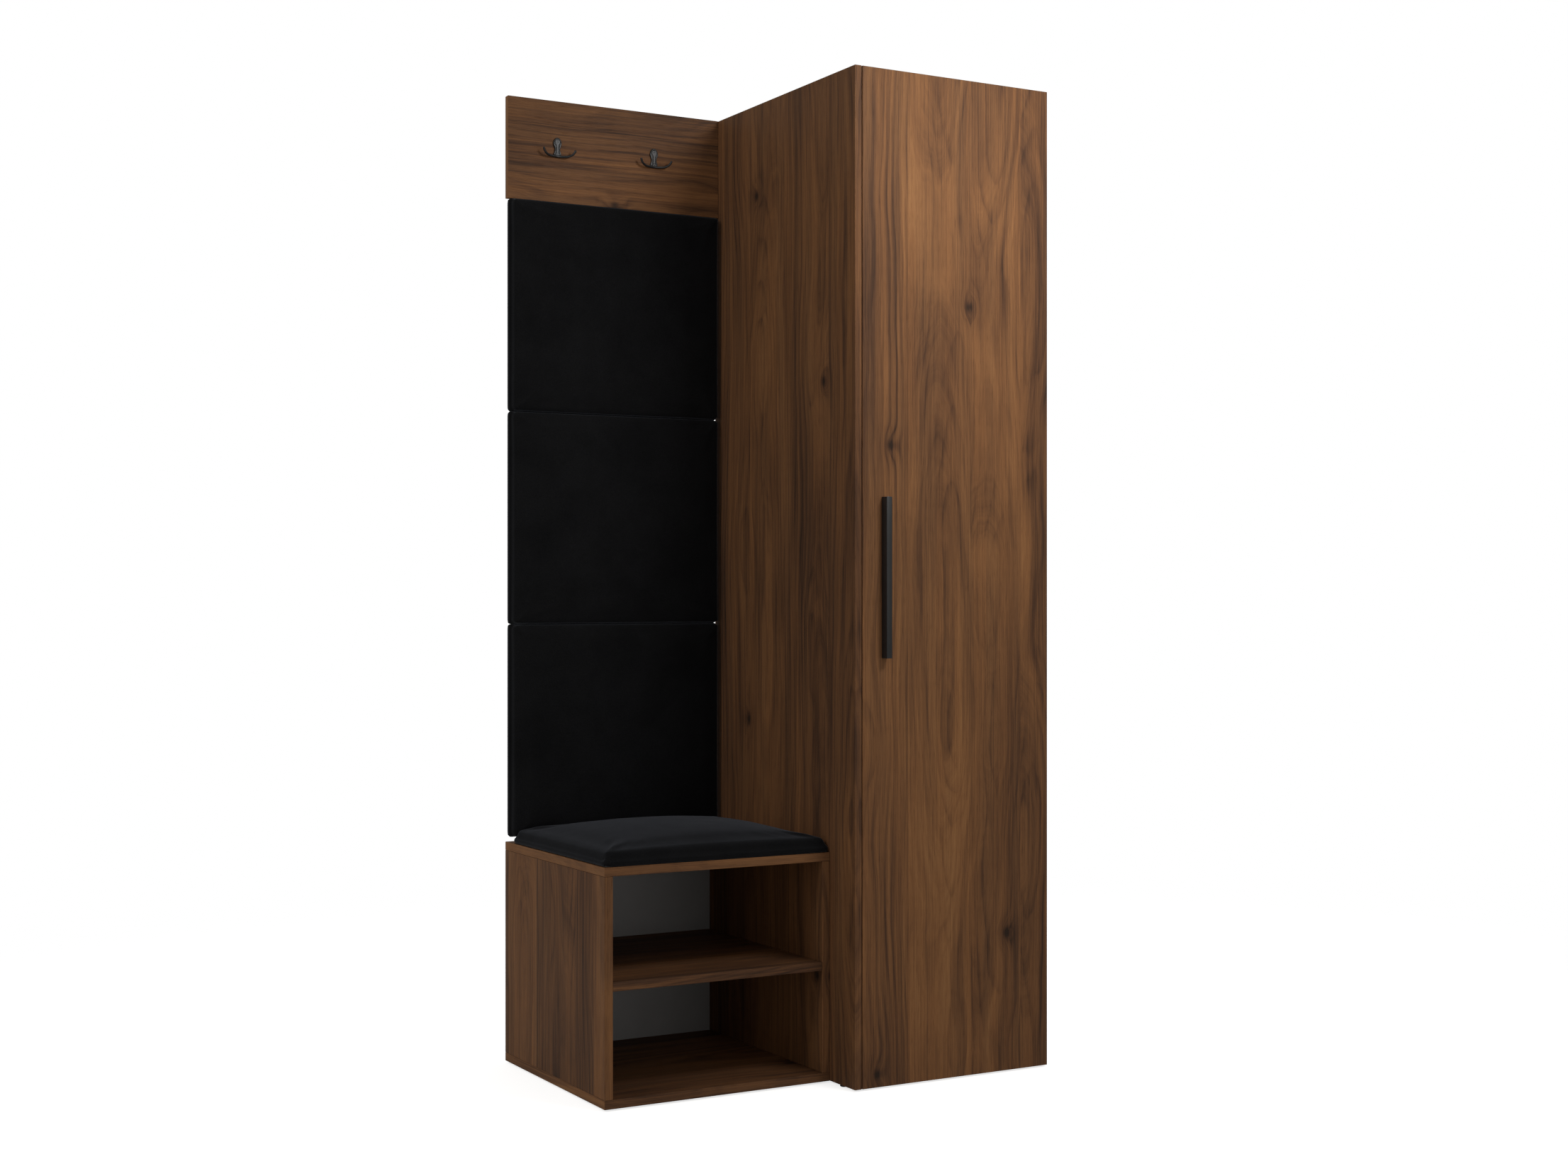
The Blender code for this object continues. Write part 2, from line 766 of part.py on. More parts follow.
def add_handle(axis):
    """A plain square bar, held by two machine screws from inside the door."""
    low = (handle_x - HANDLE_WIDTH / 2, door_front - HANDLE_PROUD, door_middle - HANDLE_LENGTH / 2)
    high = (handle_x + HANDLE_WIDTH / 2, door_front - FIT, door_middle + HANDLE_LENGTH / 2)
    handle = add_board("door_handle", low, high, BLACK_METAL, edge=HANDLE_ROUND)
    bore = HANDLE_SCREW_SHANK + SCREW_CLEARANCE
    depth = HANDLE_SCREW_DEPTH + SCREW_CLEARANCE
    holes = [((handle_x, door_front, z), bore, 2 * depth) for z in handle_screw_heights]
    boolean(handle, add_helper("thread_bores", rods_mesh("thread_bores", holes, along_y)))
    hang(handle, axis)

    shank = DOOR_BOARD + HANDLE_SCREW_DEPTH
    screw = [
        (0, FIT + HANDLE_SCREW_HEAD_HEIGHT),
        (HANDLE_SCREW_HEAD * 0.75, FIT + HANDLE_SCREW_HEAD_HEIGHT),
        (HANDLE_SCREW_HEAD, FIT + HANDLE_SCREW_HEAD_HEIGHT * 0.6),
        (HANDLE_SCREW_HEAD, FIT),
        (HANDLE_SCREW_SHANK, FIT),
        (HANDLE_SCREW_SHANK, -shank),
        (0, -shank),
    ]
    mesh = smooth(turned_mesh("handle_screw", screw, segments=16))
    mesh.transform(Matrix.Rotation(radians(-90), 4, "X"))
    for number, z in enumerate(handle_screw_heights, 1):
        piece = add_part(f"handle_screw_{number}", mesh, BRIGHT_METAL, (handle_x, door_back, z))
        hang(piece, axis)


def add_bumpers(axis):
    """Two soft dots on the door that meet the front edges of the bottom and top boards."""
    rods = [((0, DOOR_GAP / 2, 0), BUMPER_RADIUS, DOOR_GAP - 2 * FIT)]
    mesh = smooth(rods_mesh("door_bumper", rods, along_y, 16))
    heights = (GLIDE_HEIGHT + WARDROBE_BOARD / 2, HEIGHT - WARDROBE_BOARD / 2)
    for number, z in enumerate(heights, 1):
        place = (door_left + 3 * BUMPER_RADIUS, door_back, z)
        hang(add_part(f"door_bumper_{number}", mesh, CLEAR_PLASTIC, place), axis)


# ---- Concealed hinges: cup in the door, link, and arm on the wardrobe's side ----


def hinge_cup_mesh():
    """A pressed cup, open towards the wardrobe, with the link's pin across it.

    The origin is the cup's centre on the door's inner face."""
    rim = CUP_RADIUS + CUP_FLANGE
    inside = CUP_RADIUS - CUP_WALL
    profile = [
        (0, CUP_WALL - CUP_DEPTH),
        (inside, CUP_WALL - CUP_DEPTH),
        (inside, FIT + CUP_FLANGE_THICKNESS),
        (rim, FIT + CUP_FLANGE_THICKNESS),
        (rim, FIT),
        (CUP_RADIUS, FIT),
        (CUP_RADIUS, -CUP_DEPTH),
        (0, -CUP_DEPTH),
    ]
    mesh = turned_mesh("hinge_cup", profile, segments=32)
    mesh.transform(Matrix.Rotation(radians(-90), 4, "X"))
    cup = add_helper("hinge_cup", mesh)
    offset = CUP_RADIUS - PIN_FROM_RIM
    in_wall = CUP_RADIUS - CUP_WALL / 2
    pin_length = 2 * (in_wall**2 - (offset + PIN_RADIUS) ** 2) ** 0.5
    pin_rod = [((offset, -PIN_BELOW_FACE, 0), PIN_RADIUS, pin_length)]
    pin = add_helper("hinge_pin", rods_mesh("hinge_pin", pin_rod, segments=12))
    boolean(cup, pin, "UNION")
    return smooth(finished_mesh(cup, pin))


def hinge_link_mesh():
    """A bent strap with an eye at each end. It pivots on the cup's pin, which is the origin.

    Its course is given as it lies with the door wide open, when it reaches over the door's rim,
    and it is then folded back by LINK_TURN to where it lies with the door shut."""
    course = [(0, 0), (0.0008, 0.0062), (0.0060, 0.0087), (0.0160, 0.0081), (0.0268, 0.0062)]
    curve = bpy.data.curves.new("hinge_link", "CURVE")
    curve.dimensions = "2D"
    curve.fill_mode = "NONE"
    curve.resolution_u = 5
    curve.extrude = LINK_WIDTH / 2
    spline = curve.splines.new("BEZIER")
    spline.bezier_points.add(len(course) - 1)
    for point, place in zip(spline.bezier_points, course):
        point.co = (*place, 0)
        point.handle_left_type = "AUTO"
        point.handle_right_type = "AUTO"
    strap = add_helper("hinge_link", finished_mesh(add_helper("link_course", curve)))
    wall_thickness = strap.modifiers.new("strap", "SOLIDIFY")
    wall_thickness.thickness = LINK_THICKNESS
    wall_thickness.offset = 0
    ends = [(*course[0], 0), (*course[-1], 0)]
    eye_rods = [(end, LINK_EYE, LINK_WIDTH) for end in ends]
    eyes = add_helper("link_eyes", rods_mesh("link_eyes", eye_rods, segments=16))
    bore_rods = [(end, PIN_RADIUS + PIN_CLEARANCE, 2 * LINK_WIDTH) for end in ends]
    bores = add_helper("link_bores", rods_mesh("link_bores", bore_rods, segments=12))
    boolean(strap, eyes, "UNION")
    boolean(strap, bores)
    mesh = finished_mesh(strap, eyes, bores)
    mesh.transform(Matrix.Rotation(LINK_TURN, 4, "Z"))
    return smooth(mesh)


def hinge_arm_mesh():
    """A channel on a plate. The link's far end moves between its cheeks, and its mouth faces
    the door. The origin is the front inner corner of the wardrobe's side."""
    cheek = LINK_WIDTH / 2 + ARM_SIDE_PLAY
    arm = box_cutter(
        "hinge_arm",
        (-ARM_REACH, ARM_FRONT, -cheek - ARM_WALL),
        (-FIT - PLATE_THICKNESS / 2, ARM_FRONT + ARM_LENGTH, cheek + ARM_WALL),
    )
    plate_front = ARM_FRONT + PLATE_SETBACK
    plate = box_cutter(
        "hinge_plate",
        (-FIT - PLATE_THICKNESS, plate_front, -PLATE_HEIGHT / 2),
        (-FIT, plate_front + PLATE_LENGTH, PLATE_HEIGHT / 2),
    )
    channel = box_cutter(
        "arm_channel",
        (-ARM_REACH + ARM_WALL, -ARM_LENGTH, -cheek),
        (-FIT - PLATE_THICKNESS - ARM_WALL, ARM_FRONT + ARM_LENGTH - 3 * ARM_WALL, cheek),
    )
    boolean(arm, plate, "UNION")
    boolean(arm, channel)
    return finished_mesh(arm, plate, channel)


def add_hinges(door_axis, link_axis):
    cup_mesh = hinge_cup_mesh()
    link_mesh = hinge_link_mesh()
    arm_mesh = hinge_arm_mesh()
    for number, z in enumerate(hinge_heights, 1):
        cup = add_part(f"hinge_cup_{number}", cup_mesh, GREY_METAL, (cup_x, door_back, z))
        hang(cup, door_axis)
        pin = link_axis_place + Vector((0, 0, z))
        hang(add_part(f"hinge_link_{number}", link_mesh, GREY_METAL, pin), link_axis)
        corner = (inner_right, carcass_front, z)
        add_part(f"hinge_arm_{number}", arm_mesh, GREY_METAL, corner)


# ---- The whole set ----


def build_set():
    add_bench()
    bench_x = (left + GLIDE_INSET, bench_right - GLIDE_INSET)
    bench_y = (bench_front + GLIDE_INSET, wall - GLIDE_INSET)
    add_glides("bench_glide", [(x, y) for x in bench_x for y in bench_y])
    add_cushion()
    for number in range(PANEL_COUNT):
        foot = BENCH_HEIGHT + PANEL_FOOT_GAP + number * (panel_height + PANEL_GAP)
        add_wall_panel(number + 1, foot)
    add_hook_panel()
    add_hooks()
    add_wardrobe()
    half_board = WARDROBE_BOARD / 2
    wardrobe_x = (wardrobe_left + half_board, right - half_board)
    wardrobe_y = (carcass_front + GLIDE_INSET, wall - GLIDE_INSET)
    add_glides("wardrobe_glide", [(x, y) for x in wardrobe_x for y in wardrobe_y])
    add_rail()
    add_wall_bracket()
    door_axis = add_axis("door_axis", door_axis_place)
    link_axis = add_axis("hinge_link_axis", link_axis_place, door_axis)
    add_door(door_axis)
    add_handle(door_axis)
    add_bumpers(door_axis)
    add_hinges(door_axis, link_axis)


build_set()
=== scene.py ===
"""Hallway set in walnut laminate and black velvet: shoe bench with a seat cushion, three wall
panels, hook panel with coat hooks, and a tall wardrobe whose door hangs on concealed hinges.

The sections follow the set as it is put together, from the bench to the door's hinges.
"""
from math import cos, pi, radians, sin

import bmesh
import bpy
import numpy as np
from mathutils import Matrix, Vector, noise


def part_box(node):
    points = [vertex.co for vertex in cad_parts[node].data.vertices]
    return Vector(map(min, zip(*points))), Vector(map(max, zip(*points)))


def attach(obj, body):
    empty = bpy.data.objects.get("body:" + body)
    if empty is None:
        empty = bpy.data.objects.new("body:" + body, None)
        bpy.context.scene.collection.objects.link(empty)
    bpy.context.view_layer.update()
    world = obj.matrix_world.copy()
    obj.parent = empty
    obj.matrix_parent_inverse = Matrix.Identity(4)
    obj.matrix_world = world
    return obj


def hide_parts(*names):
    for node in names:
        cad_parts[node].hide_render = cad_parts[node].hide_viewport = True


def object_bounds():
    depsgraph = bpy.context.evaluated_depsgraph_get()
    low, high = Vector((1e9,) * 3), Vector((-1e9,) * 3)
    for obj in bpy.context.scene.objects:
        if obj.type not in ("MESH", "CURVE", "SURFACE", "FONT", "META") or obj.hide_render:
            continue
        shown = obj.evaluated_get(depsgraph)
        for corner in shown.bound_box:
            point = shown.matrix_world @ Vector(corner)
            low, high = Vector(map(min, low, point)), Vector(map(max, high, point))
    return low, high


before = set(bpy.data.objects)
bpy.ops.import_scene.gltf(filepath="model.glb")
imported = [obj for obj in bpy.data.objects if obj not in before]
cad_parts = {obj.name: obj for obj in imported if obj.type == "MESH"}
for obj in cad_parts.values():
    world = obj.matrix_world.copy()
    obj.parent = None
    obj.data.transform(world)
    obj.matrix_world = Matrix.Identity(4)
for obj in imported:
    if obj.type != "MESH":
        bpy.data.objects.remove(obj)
cad_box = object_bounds()

# ---- Studio ----
# A white room with a pale floor that fades out around the set. A small soft light hangs close in
# front of the wardrobe's top, a large one stands far off to the left, and a low wide one far in front.

camera_data = bpy.data.cameras.new("camera")
camera_data.lens = 48.65
camera_data.sensor_width = 36
camera_data.shift_y = 0.00466
camera = bpy.data.objects.new("camera", camera_data)
camera.location = (-2.2450, -3.9907, 1.0155)
camera.rotation_euler = (radians(90), 0, radians(-29.54))
bpy.context.scene.collection.objects.link(camera)
bpy.context.scene.camera = camera
bpy.context.scene.view_settings.view_transform = "Standard"


def add_light(name, place, target, width, height, watts, spread=180):
    lamp = bpy.data.lights.new(name, "AREA")
    lamp.spread = radians(spread)
    lamp.shape = "RECTANGLE"
    lamp.size = width
    lamp.size_y = height
    lamp.energy = watts
    obj = bpy.data.objects.new(name, lamp)
    obj.location = place
    obj.rotation_euler = (Vector(target) - Vector(place)).to_track_quat("-Z", "Y").to_euler()
    obj.visible_camera = False
    bpy.context.scene.collection.objects.link(obj)


add_light("high_front_light", (0.50, -1.62, 2.50), (0.40, -0.30, 1.72), 0.6, 0.45, 8.0, spread=94)
add_light("left_fill_light", (-6.0, -0.6, 4.4), (0.0, 0.0, 1.6), 3.0, 3.0, 86)
add_light("low_front_light", (0.8, -6.0, 0.7), (0.2, 0.0, 0.6), 3.0, 1.6, 22)


def add_node(tree, kind, inputs=(), **settings):
    """A shader node. Each of its inputs is given a number, a colour or another node's output."""
    made = tree.nodes.new("ShaderNode" + kind)
    for name, value in settings.items():
        setattr(made, name, value)
    for socket, value in dict(inputs).items():
        if isinstance(value, bpy.types.NodeSocket):
            tree.links.new(value, made.inputs[socket])
        else:
            made.inputs[socket].default_value = value
    return made


world = bpy.data.worlds.new("white_room")
world.use_nodes = True
room = world.node_tree
room.nodes.clear()
seen = add_node(room, "Background", {"Color": (1, 1, 1, 1), "Strength": 1.0})
ambient = add_node(room, "Background", {"Color": (1, 0.985, 0.96, 1), "Strength": 0.38})
rays = add_node(room, "LightPath")
choice = add_node(
    room, "MixShader", {0: rays.outputs["Is Camera Ray"], 1: ambient.outputs[0], 2: seen.outputs[0]}
)
add_node(room, "OutputWorld", {"Surface": choice.outputs[0]})
bpy.context.scene.world = world


def mesh_piece(name, bm):
    """An object at the origin from a finished bmesh, with its faces turned outwards."""
    bmesh.ops.recalc_face_normals(bm, faces=bm.faces)
    mesh = bpy.data.meshes.new(name)
    bm.to_mesh(mesh)
    bm.free()
    obj = bpy.data.objects.new(name, mesh)
    bpy.context.scene.collection.objects.link(obj)
    return obj


def new_material(name):
    """A material with its shader and its Object coordinates."""
    material = bpy.data.materials.new(name)
    material.use_nodes = True
    tree = material.node_tree
    shader = tree.nodes["Principled BSDF"]
    place = add_node(tree, "TexCoord").outputs["Object"]
    return material, tree, shader, place


FLOOR_RADIUS = 3.4
FLOOR_GLOW = 0.72
FADE_FROM = 0.9
FADE_TO = FLOOR_RADIUS * 0.96
floor_middle = Vector((0.1, -0.5, cad_box[0].z))
bm = bmesh.new()
bmesh.ops.create_circle(
    bm, cap_ends=True, segments=96, radius=FLOOR_RADIUS, matrix=Matrix.Translation(floor_middle)
)
floor = mesh_piece("floor", bm)
floor_finish, tree, shader, place = new_material("pale_floor")
shader.inputs["Base Color"].default_value = (0.80, 0.80, 0.79, 1)
shader.inputs["Roughness"].default_value = 0.75
shader.inputs["Specular IOR Level"].default_value = 0.2
shader.inputs["Emission Color"].default_value = (1, 1, 1, 1)
to_camera = add_node(tree, "LightPath").outputs["Is Camera Ray"]
glow = add_node(tree, "Math", {0: to_camera, 1: FLOOR_GLOW}, operation="MULTIPLY")
tree.links.new(glow.outputs[0], shader.inputs["Emission Strength"])
reach = add_node(tree, "VectorMath", {0: place, 1: floor_middle}, operation="DISTANCE")
fade = add_node(
    tree, "MapRange", {"Value": reach.outputs["Value"], "From Min": FADE_FROM, "From Max": FADE_TO},
    interpolation_type="SMOOTHSTEP",
)
clear = add_node(tree, "BsdfTransparent")
faded = add_node(
    tree, "MixShader", {0: fade.outputs["Result"], 1: shader.outputs[0], 2: clear.outputs[0]}
)
tree.links.new(faded.outputs[0], tree.nodes["Material Output"].inputs["Surface"])
floor.data.materials.append(floor_finish)

# ---- Bench boards ----
# Chipboard with a walnut laminate on both faces and a 1 mm edge band, cut square and butted.
# The bottom and the top run the full width, and the sides and the shelf stand between them.


def calc(tree, operation, first, second=0.0, third=0.0):
    node = add_node(tree, "Math", {0: first, 1: second, 2: third}, operation=operation)
    return node.outputs[0]


def either(tree, share, first, second):
    """A number that is first where share is 0 and second where it is 1."""
    return add_node(tree, "Mix", {0: share, 2: first, 3: second}).outputs[0]


def tint(tree, share, first, second, way="MIX"):
    """The same for colours, which may also be multiplied together."""
    node = add_node(tree, "Mix", {0: share, 6: first, 7: second}, data_type="RGBA", blend_type=way)
    return node.outputs[2]


def fine_noise(tree, vector, detail, roughness=0.5, scale=1.0):
    made = add_node(
        tree, "TexNoise", {"Vector": vector, "Scale": scale, "Detail": detail, "Roughness": roughness}
    )
    return made.outputs["Fac"]


def ramp(tree, value, stops):
    """A colour ramp through (position, colour) stops."""
    node = add_node(tree, "ValToRGB", {"Fac": value})
    elements = node.color_ramp.elements
    while len(elements) < len(stops):
        elements.new(0.5)
    for element, (position, colour) in zip(elements, stops):
        element.position = position
        element.color = colour
    return node.outputs["Color"]


def grey(value):
    return (value, value, value, 1)


def shaded(colour, share):
    """A colour for a shader, darker or lighter by a share."""
    return (*[share * part for part in colour], 1)


STAVES_PER_METRE = 6.5
HEART_SPREAD = 0.10
KNOT_LENGTH = 1.35
RING_SPACING = 0.0105
SLICE_DEPTH = 0.150


def walnut_decor():
    """The printed walnut pattern, as a group that takes metres along and across the grain.

    The decor is made of staves. Each is a flat-sawn slice whose growth rings are the contour
    lines of a field that rises away from the stave's heart and round the knots."""
    group = bpy.data.node_groups.new("walnut_decor", "ShaderNodeTree")
    for name in ("Along", "Across"):
        group.interface.new_socket(name, in_out="INPUT", socket_type="NodeSocketFloat")
    group.interface.new_socket("Colour", in_out="OUTPUT", socket_type="NodeSocketColor")
    group.interface.new_socket("Roughness", in_out="OUTPUT", socket_type="NodeSocketFloat")
    group.interface.new_socket("Height", in_out="OUTPUT", socket_type="NodeSocketFloat")
    entry = group.nodes.new("NodeGroupInput")
    along, across = entry.outputs["Along"], entry.outputs["Across"]

    def stretched(along_scale, across_scale, third=0.0, sideways=across):
        scaled_along = calc(group, "MULTIPLY", along, along_scale)
        scaled_across = calc(group, "MULTIPLY", sideways, across_scale)
        parts = {"X": scaled_along, "Y": scaled_across, "Z": third}
        return add_node(group, "CombineXYZ", parts).outputs[0]

    # Staves: cells of uneven width, each with three random numbers.
    cells = add_node(
        group, "TexVoronoi", {"W": across, "Scale": STAVES_PER_METRE}, voronoi_dimensions="1D"
    )
    chance = add_node(group, "SeparateColor", {0: cells.outputs["Color"]})
    tone_chance, heart_chance, depth_chance = chance.outputs
    aside = calc(group, "SUBTRACT", heart_chance, 0.5)
    heart = calc(group, "MULTIPLY_ADD", aside, HEART_SPREAD, cells.outputs["W"])

    # Knots, about three in a square metre, a little longer than wide.
    knot_scale = Vector((0.80, 4.2, 0))
    knot_cells = add_node(
        group, "TexVoronoi", {"Vector": stretched(*knot_scale), "Scale": 1.0}, voronoi_dimensions="2D"
    )
    away = add_node(
        group, "VectorMath", {0: stretched(*knot_scale), 1: knot_cells.outputs["Position"]},
        operation="SUBTRACT",
    )
    away_metres = add_node(
        group, "VectorMath", {0: away.outputs[0], 1: (KNOT_LENGTH * knot_scale.x, knot_scale.y, 1)},
        operation="DIVIDE",
    )
    length = add_node(group, "VectorMath", {0: away_metres.outputs[0]}, operation="LENGTH")
    knot_distance = length.outputs["Value"]

    def near_knot(radius):
        square = calc(group, "POWER", calc(group, "DIVIDE", knot_distance, radius), 2.0)
        return calc(group, "EXPONENT", calc(group, "MULTIPLY", square, -1.0))

    # Growth rings. The slice wanders through the log along the board.
    wander = fine_noise(group, stretched(1.25, 3.0, calc(group, "MULTIPLY", depth_chance, 40.0)), 2.5, 0.42)
    depth = calc(group, "MULTIPLY", wander, SLICE_DEPTH)
    beside = calc(group, "SUBTRACT", across, heart)
    ripple = calc(group, "SUBTRACT", fine_noise(group, stretched(7.0, 30.0), 2.0), 0.5)
    square = calc(group, "MULTIPLY_ADD", beside, beside, calc(group, "MULTIPLY", depth, depth))
    radius = calc(group, "SQRT", square)
    radius = calc(group, "MULTIPLY_ADD", near_knot(0.022), 0.014, radius)
    radius = calc(group, "MULTIPLY_ADD", ripple, 0.006, radius)
    ring_share = calc(group, "FRACT", calc(group, "DIVIDE", radius, RING_SPACING))
    ring_line = ramp(group, ring_share, [
        (0.00, grey(0.25)), (0.16, grey(0.0)), (0.62, grey(0.12)), (0.93, grey(1.0)), (1.00, grey(0.25)),
    ])
    patches = fine_noise(group, stretched(1.6, 22.0), 3.0)
    ring_strength = ramp(group, patches, [(0.38, grey(0.0)), (0.66, grey(1.0))])

    # Streaks that bend with the rings where the stave is cut flat, and straight fine ones.
    flow = calc(group, "MULTIPLY_ADD", radius, 0.75, calc(group, "MULTIPLY", across, 0.35))
    stave_number = calc(group, "MULTIPLY", tone_chance, 9.0)
    streaks = fine_noise(group, stretched(1.5, 95.0, stave_number, flow), 5.0, 0.68)
    fibres = fine_noise(group, stretched(4.0, 310.0), 3.0, 0.65)
    dashes = fine_noise(group, stretched(34.0, 1250.0), 1.0)
    pores = ramp(group, dashes, [(0.30, grey(1.0)), (0.42, grey(0.0))])
    clouds = fine_noise(group, stretched(1.1, 5.5), 2.0)

    tone = calc(group, "MULTIPLY_ADD", calc(group, "SUBTRACT", streaks, 0.5), 1.20, 0.56)
    tone = calc(group, "MULTIPLY_ADD", calc(group, "SUBTRACT", clouds, 0.5), 0.75, tone)
    tone = calc(group, "MULTIPLY_ADD", calc(group, "SUBTRACT", tone_chance, 0.5), 0.34, tone)
    tone = calc(group, "MULTIPLY_ADD", calc(group, "SUBTRACT", fibres, 0.5), 0.72, tone)
    line = calc(group, "MULTIPLY", ring_line, ring_strength)
    tone = calc(group, "MULTIPLY_ADD", line, -0.24, tone)
    tone = calc(group, "MULTIPLY_ADD", near_knot(0.0075), -0.45, tone)
    tone = calc(group, "MULTIPLY_ADD", near_knot(0.030), -0.14, tone)
    colour = ramp(group, tone, [
        (0.00, (0.030, 0.018, 0.012, 1)),
        (0.28, (0.080, 0.038, 0.020, 1)),
        (0.52, (0.143, 0.065, 0.0285, 1)),
        (0.74, (0.204, 0.092, 0.037, 1)),
        (1.00, (0.266, 0.127, 0.050, 1)),
    ])
    # Some streaks are greyer than the rest.
    hue = fine_noise(group, stretched(0.9, 26.0, 7.0), 3.0)
    greyer = ramp(group, hue, [(0.42, grey(0.0)), (0.64, grey(0.45))])
    colour = tint(group, greyer, colour, (0.84, 0.92, 1.02, 1), "MULTIPLY")
    colour = tint(group, calc(group, "MULTIPLY", pores, 0.45), colour, (0.45, 0.40, 0.36, 1), "MULTIPLY")
    roughness = calc(group, "MULTIPLY_ADD", fibres, 0.16, 0.46)
    height = calc(group, "SUBTRACT", calc(group, "MULTIPLY", fibres, 0.5), pores)

    leave = group.nodes.new("NodeGroupOutput")
    group.links.new(colour, leave.inputs["Colour"])
    group.links.new(roughness, leave.inputs["Roughness"])
    group.links.new(height, leave.inputs["Height"])
    return group


decor = walnut_decor()
AXES = {"x": 0, "y": 1, "z": 2}
EDGE_BAND = 0.0010
GLUE_LINE = 0.00025


def laminate(name, grain, wide, thin, along_start, across_start, raw_rear=False):
    """Walnut laminate for one board. The pattern runs along the grain on the faces and lengthwise
    on the edges. A rear edge that stands at the wall may be left raw."""
    low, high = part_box(name)
    middle, half = (low + high) / 2, (high - low) / 2
    material, tree, shader, place = new_material(name + "_laminate")
    spot = add_node(tree, "SeparateXYZ", {0: place}).outputs
    grain, wide, thin = AXES[grain], AXES[wide], AXES[thin]

    def within(axis, distance):
        """1 where a point is less than distance from one of the board's two faces on that axis."""
        off_centre = calc(tree, "ABSOLUTE", calc(tree, "SUBTRACT", spot[axis], middle[axis]))
        return calc(tree, "GREATER_THAN", off_centre, half[axis] - distance)

    on_end = within(grain, EDGE_BAND / 4)
    along = either(tree, on_end, spot[grain], spot[wide])
    across = either(tree, on_end, calc(tree, "ADD", spot[wide], spot[thin]), spot[thin])
    along = calc(tree, "ADD", along, along_start)
    across = calc(tree, "ADD", across, across_start)
    pattern = add_node(tree, "Group", node_tree=decor)
    tree.links.new(along, pattern.inputs["Along"])
    tree.links.new(across, pattern.inputs["Across"])
    colour = pattern.outputs["Colour"]
    # The glue line between the face and the bands on the front and rear edges.
    seam = calc(tree, "SUBTRACT", within(1, EDGE_BAND + GLUE_LINE), within(1, EDGE_BAND))
    colour = tint(tree, calc(tree, "MULTIPLY", seam, 0.5), colour, (0.03, 0.02, 0.015, 1))
    if raw_rear:
        at_rear = calc(tree, "GREATER_THAN", spot[1], high.y - EDGE_BAND / 4)
        chips = fine_noise(tree, place, 6.0, 0.7, scale=420.0)
        chipboard = ramp(tree, chips, [
            (0.30, (0.11, 0.07, 0.04, 1)), (0.50, (0.34, 0.24, 0.14, 1)), (0.72, (0.55, 0.43, 0.28, 1)),
        ])
        colour = tint(tree, at_rear, colour, chipboard)
    tree.links.new(colour, shader.inputs["Base Color"])
    tree.links.new(pattern.outputs["Roughness"], shader.inputs["Roughness"])
    shader.inputs["Specular IOR Level"].default_value = 0.07
    bump = add_node(tree, "Bump", {"Height": pattern.outputs["Height"], "Strength": 0.35, "Distance": 0.0003})
    tree.links.new(bump.outputs[0], shader.inputs["Normal"])
    return material


def finish_node(name, material):
    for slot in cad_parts[name].material_slots:
        slot.material = material


finish_node("bench_bottom", laminate("bench_bottom", "x", "y", "z", 0.20, 0.33, raw_rear=True))
finish_node("bench_top", laminate("bench_top", "x", "y", "z", 1.70, 0.52, raw_rear=True))
finish_node("bench_side_left", laminate("bench_side_left", "z", "y", "x", 2.30, 10.34, raw_rear=True))
finish_node("bench_side_right", laminate("bench_side_right", "z", "y", "x", 3.10, 2.35, raw_rear=True))
finish_node("bench_shelf", laminate("bench_shelf", "x", "y", "z", 4.60, 3.10))

# ---- Bench back ----
# A 3 mm hardboard panel, grey lacquered towards the shoes and raw brown towards the wall. It
# slides into grooves in the four boards around it.


GREY_LACQUER = (0.205, 0.196, 0.190)


def hardboard(name):
    low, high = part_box(name)
    material, tree, shader, place = new_material(name + "_hardboard")
    depth = add_node(tree, "SeparateXYZ", {0: place}).outputs["Y"]
    behind = calc(tree, "GREATER_THAN", depth, (low.y + high.y) / 2)
    mottle = fine_noise(tree, place, 4.0, 0.6, scale=14.0)
    front = ramp(tree, mottle, [(0.3, shaded(GREY_LACQUER, 0.92)), (0.7, shaded(GREY_LACQUER, 1.0))])
    flecks = fine_noise(tree, place, 5.0, 0.75, scale=650.0)
    rear = ramp(tree, flecks, [(0.35, (0.120, 0.070, 0.036, 1)), (0.65, (0.250, 0.160, 0.090, 1))])
    tree.links.new(tint(tree, behind, front, rear), shader.inputs["Base Color"])
    roughness = either(tree, behind, 0.45, 0.85)
    tree.links.new(roughness, shader.inputs["Roughness"])
    bump = add_node(tree, "Bump", {"Height": flecks, "Strength": 0.12, "Distance": 0.0003})
    tree.links.new(bump.outputs[0], shader.inputs["Normal"])
    return material


finish_node("bench_back", hardboard("bench_back"))

# ---- Glides ----
# Four nail-on glides of black polypropylene under the bench and four under the wardrobe. They keep
# the boards' bare edges off a wet floor.


def moulded(name, colour, roughness):
    """Moulded plastic or a powder coat: an even colour with a fine texture."""
    material, tree, shader, place = new_material(name)
    grains = fine_noise(tree, place, 3.0, 0.6, scale=900.0)
    blotches = fine_noise(tree, place, 2.0, 0.5, scale=25.0)
    worn = ramp(tree, blotches, [(0.3, shaded(colour, 0.82)), (0.7, shaded(colour, 1.15))])
    tree.links.new(worn, shader.inputs["Base Color"])
    tree.links.new(calc(tree, "MULTIPLY_ADD", grains, 0.2, roughness - 0.1), shader.inputs["Roughness"])
    bump = add_node(tree, "Bump", {"Height": grains, "Strength": 0.25, "Distance": 0.0002})
    tree.links.new(bump.outputs[0], shader.inputs["Normal"])
    return material


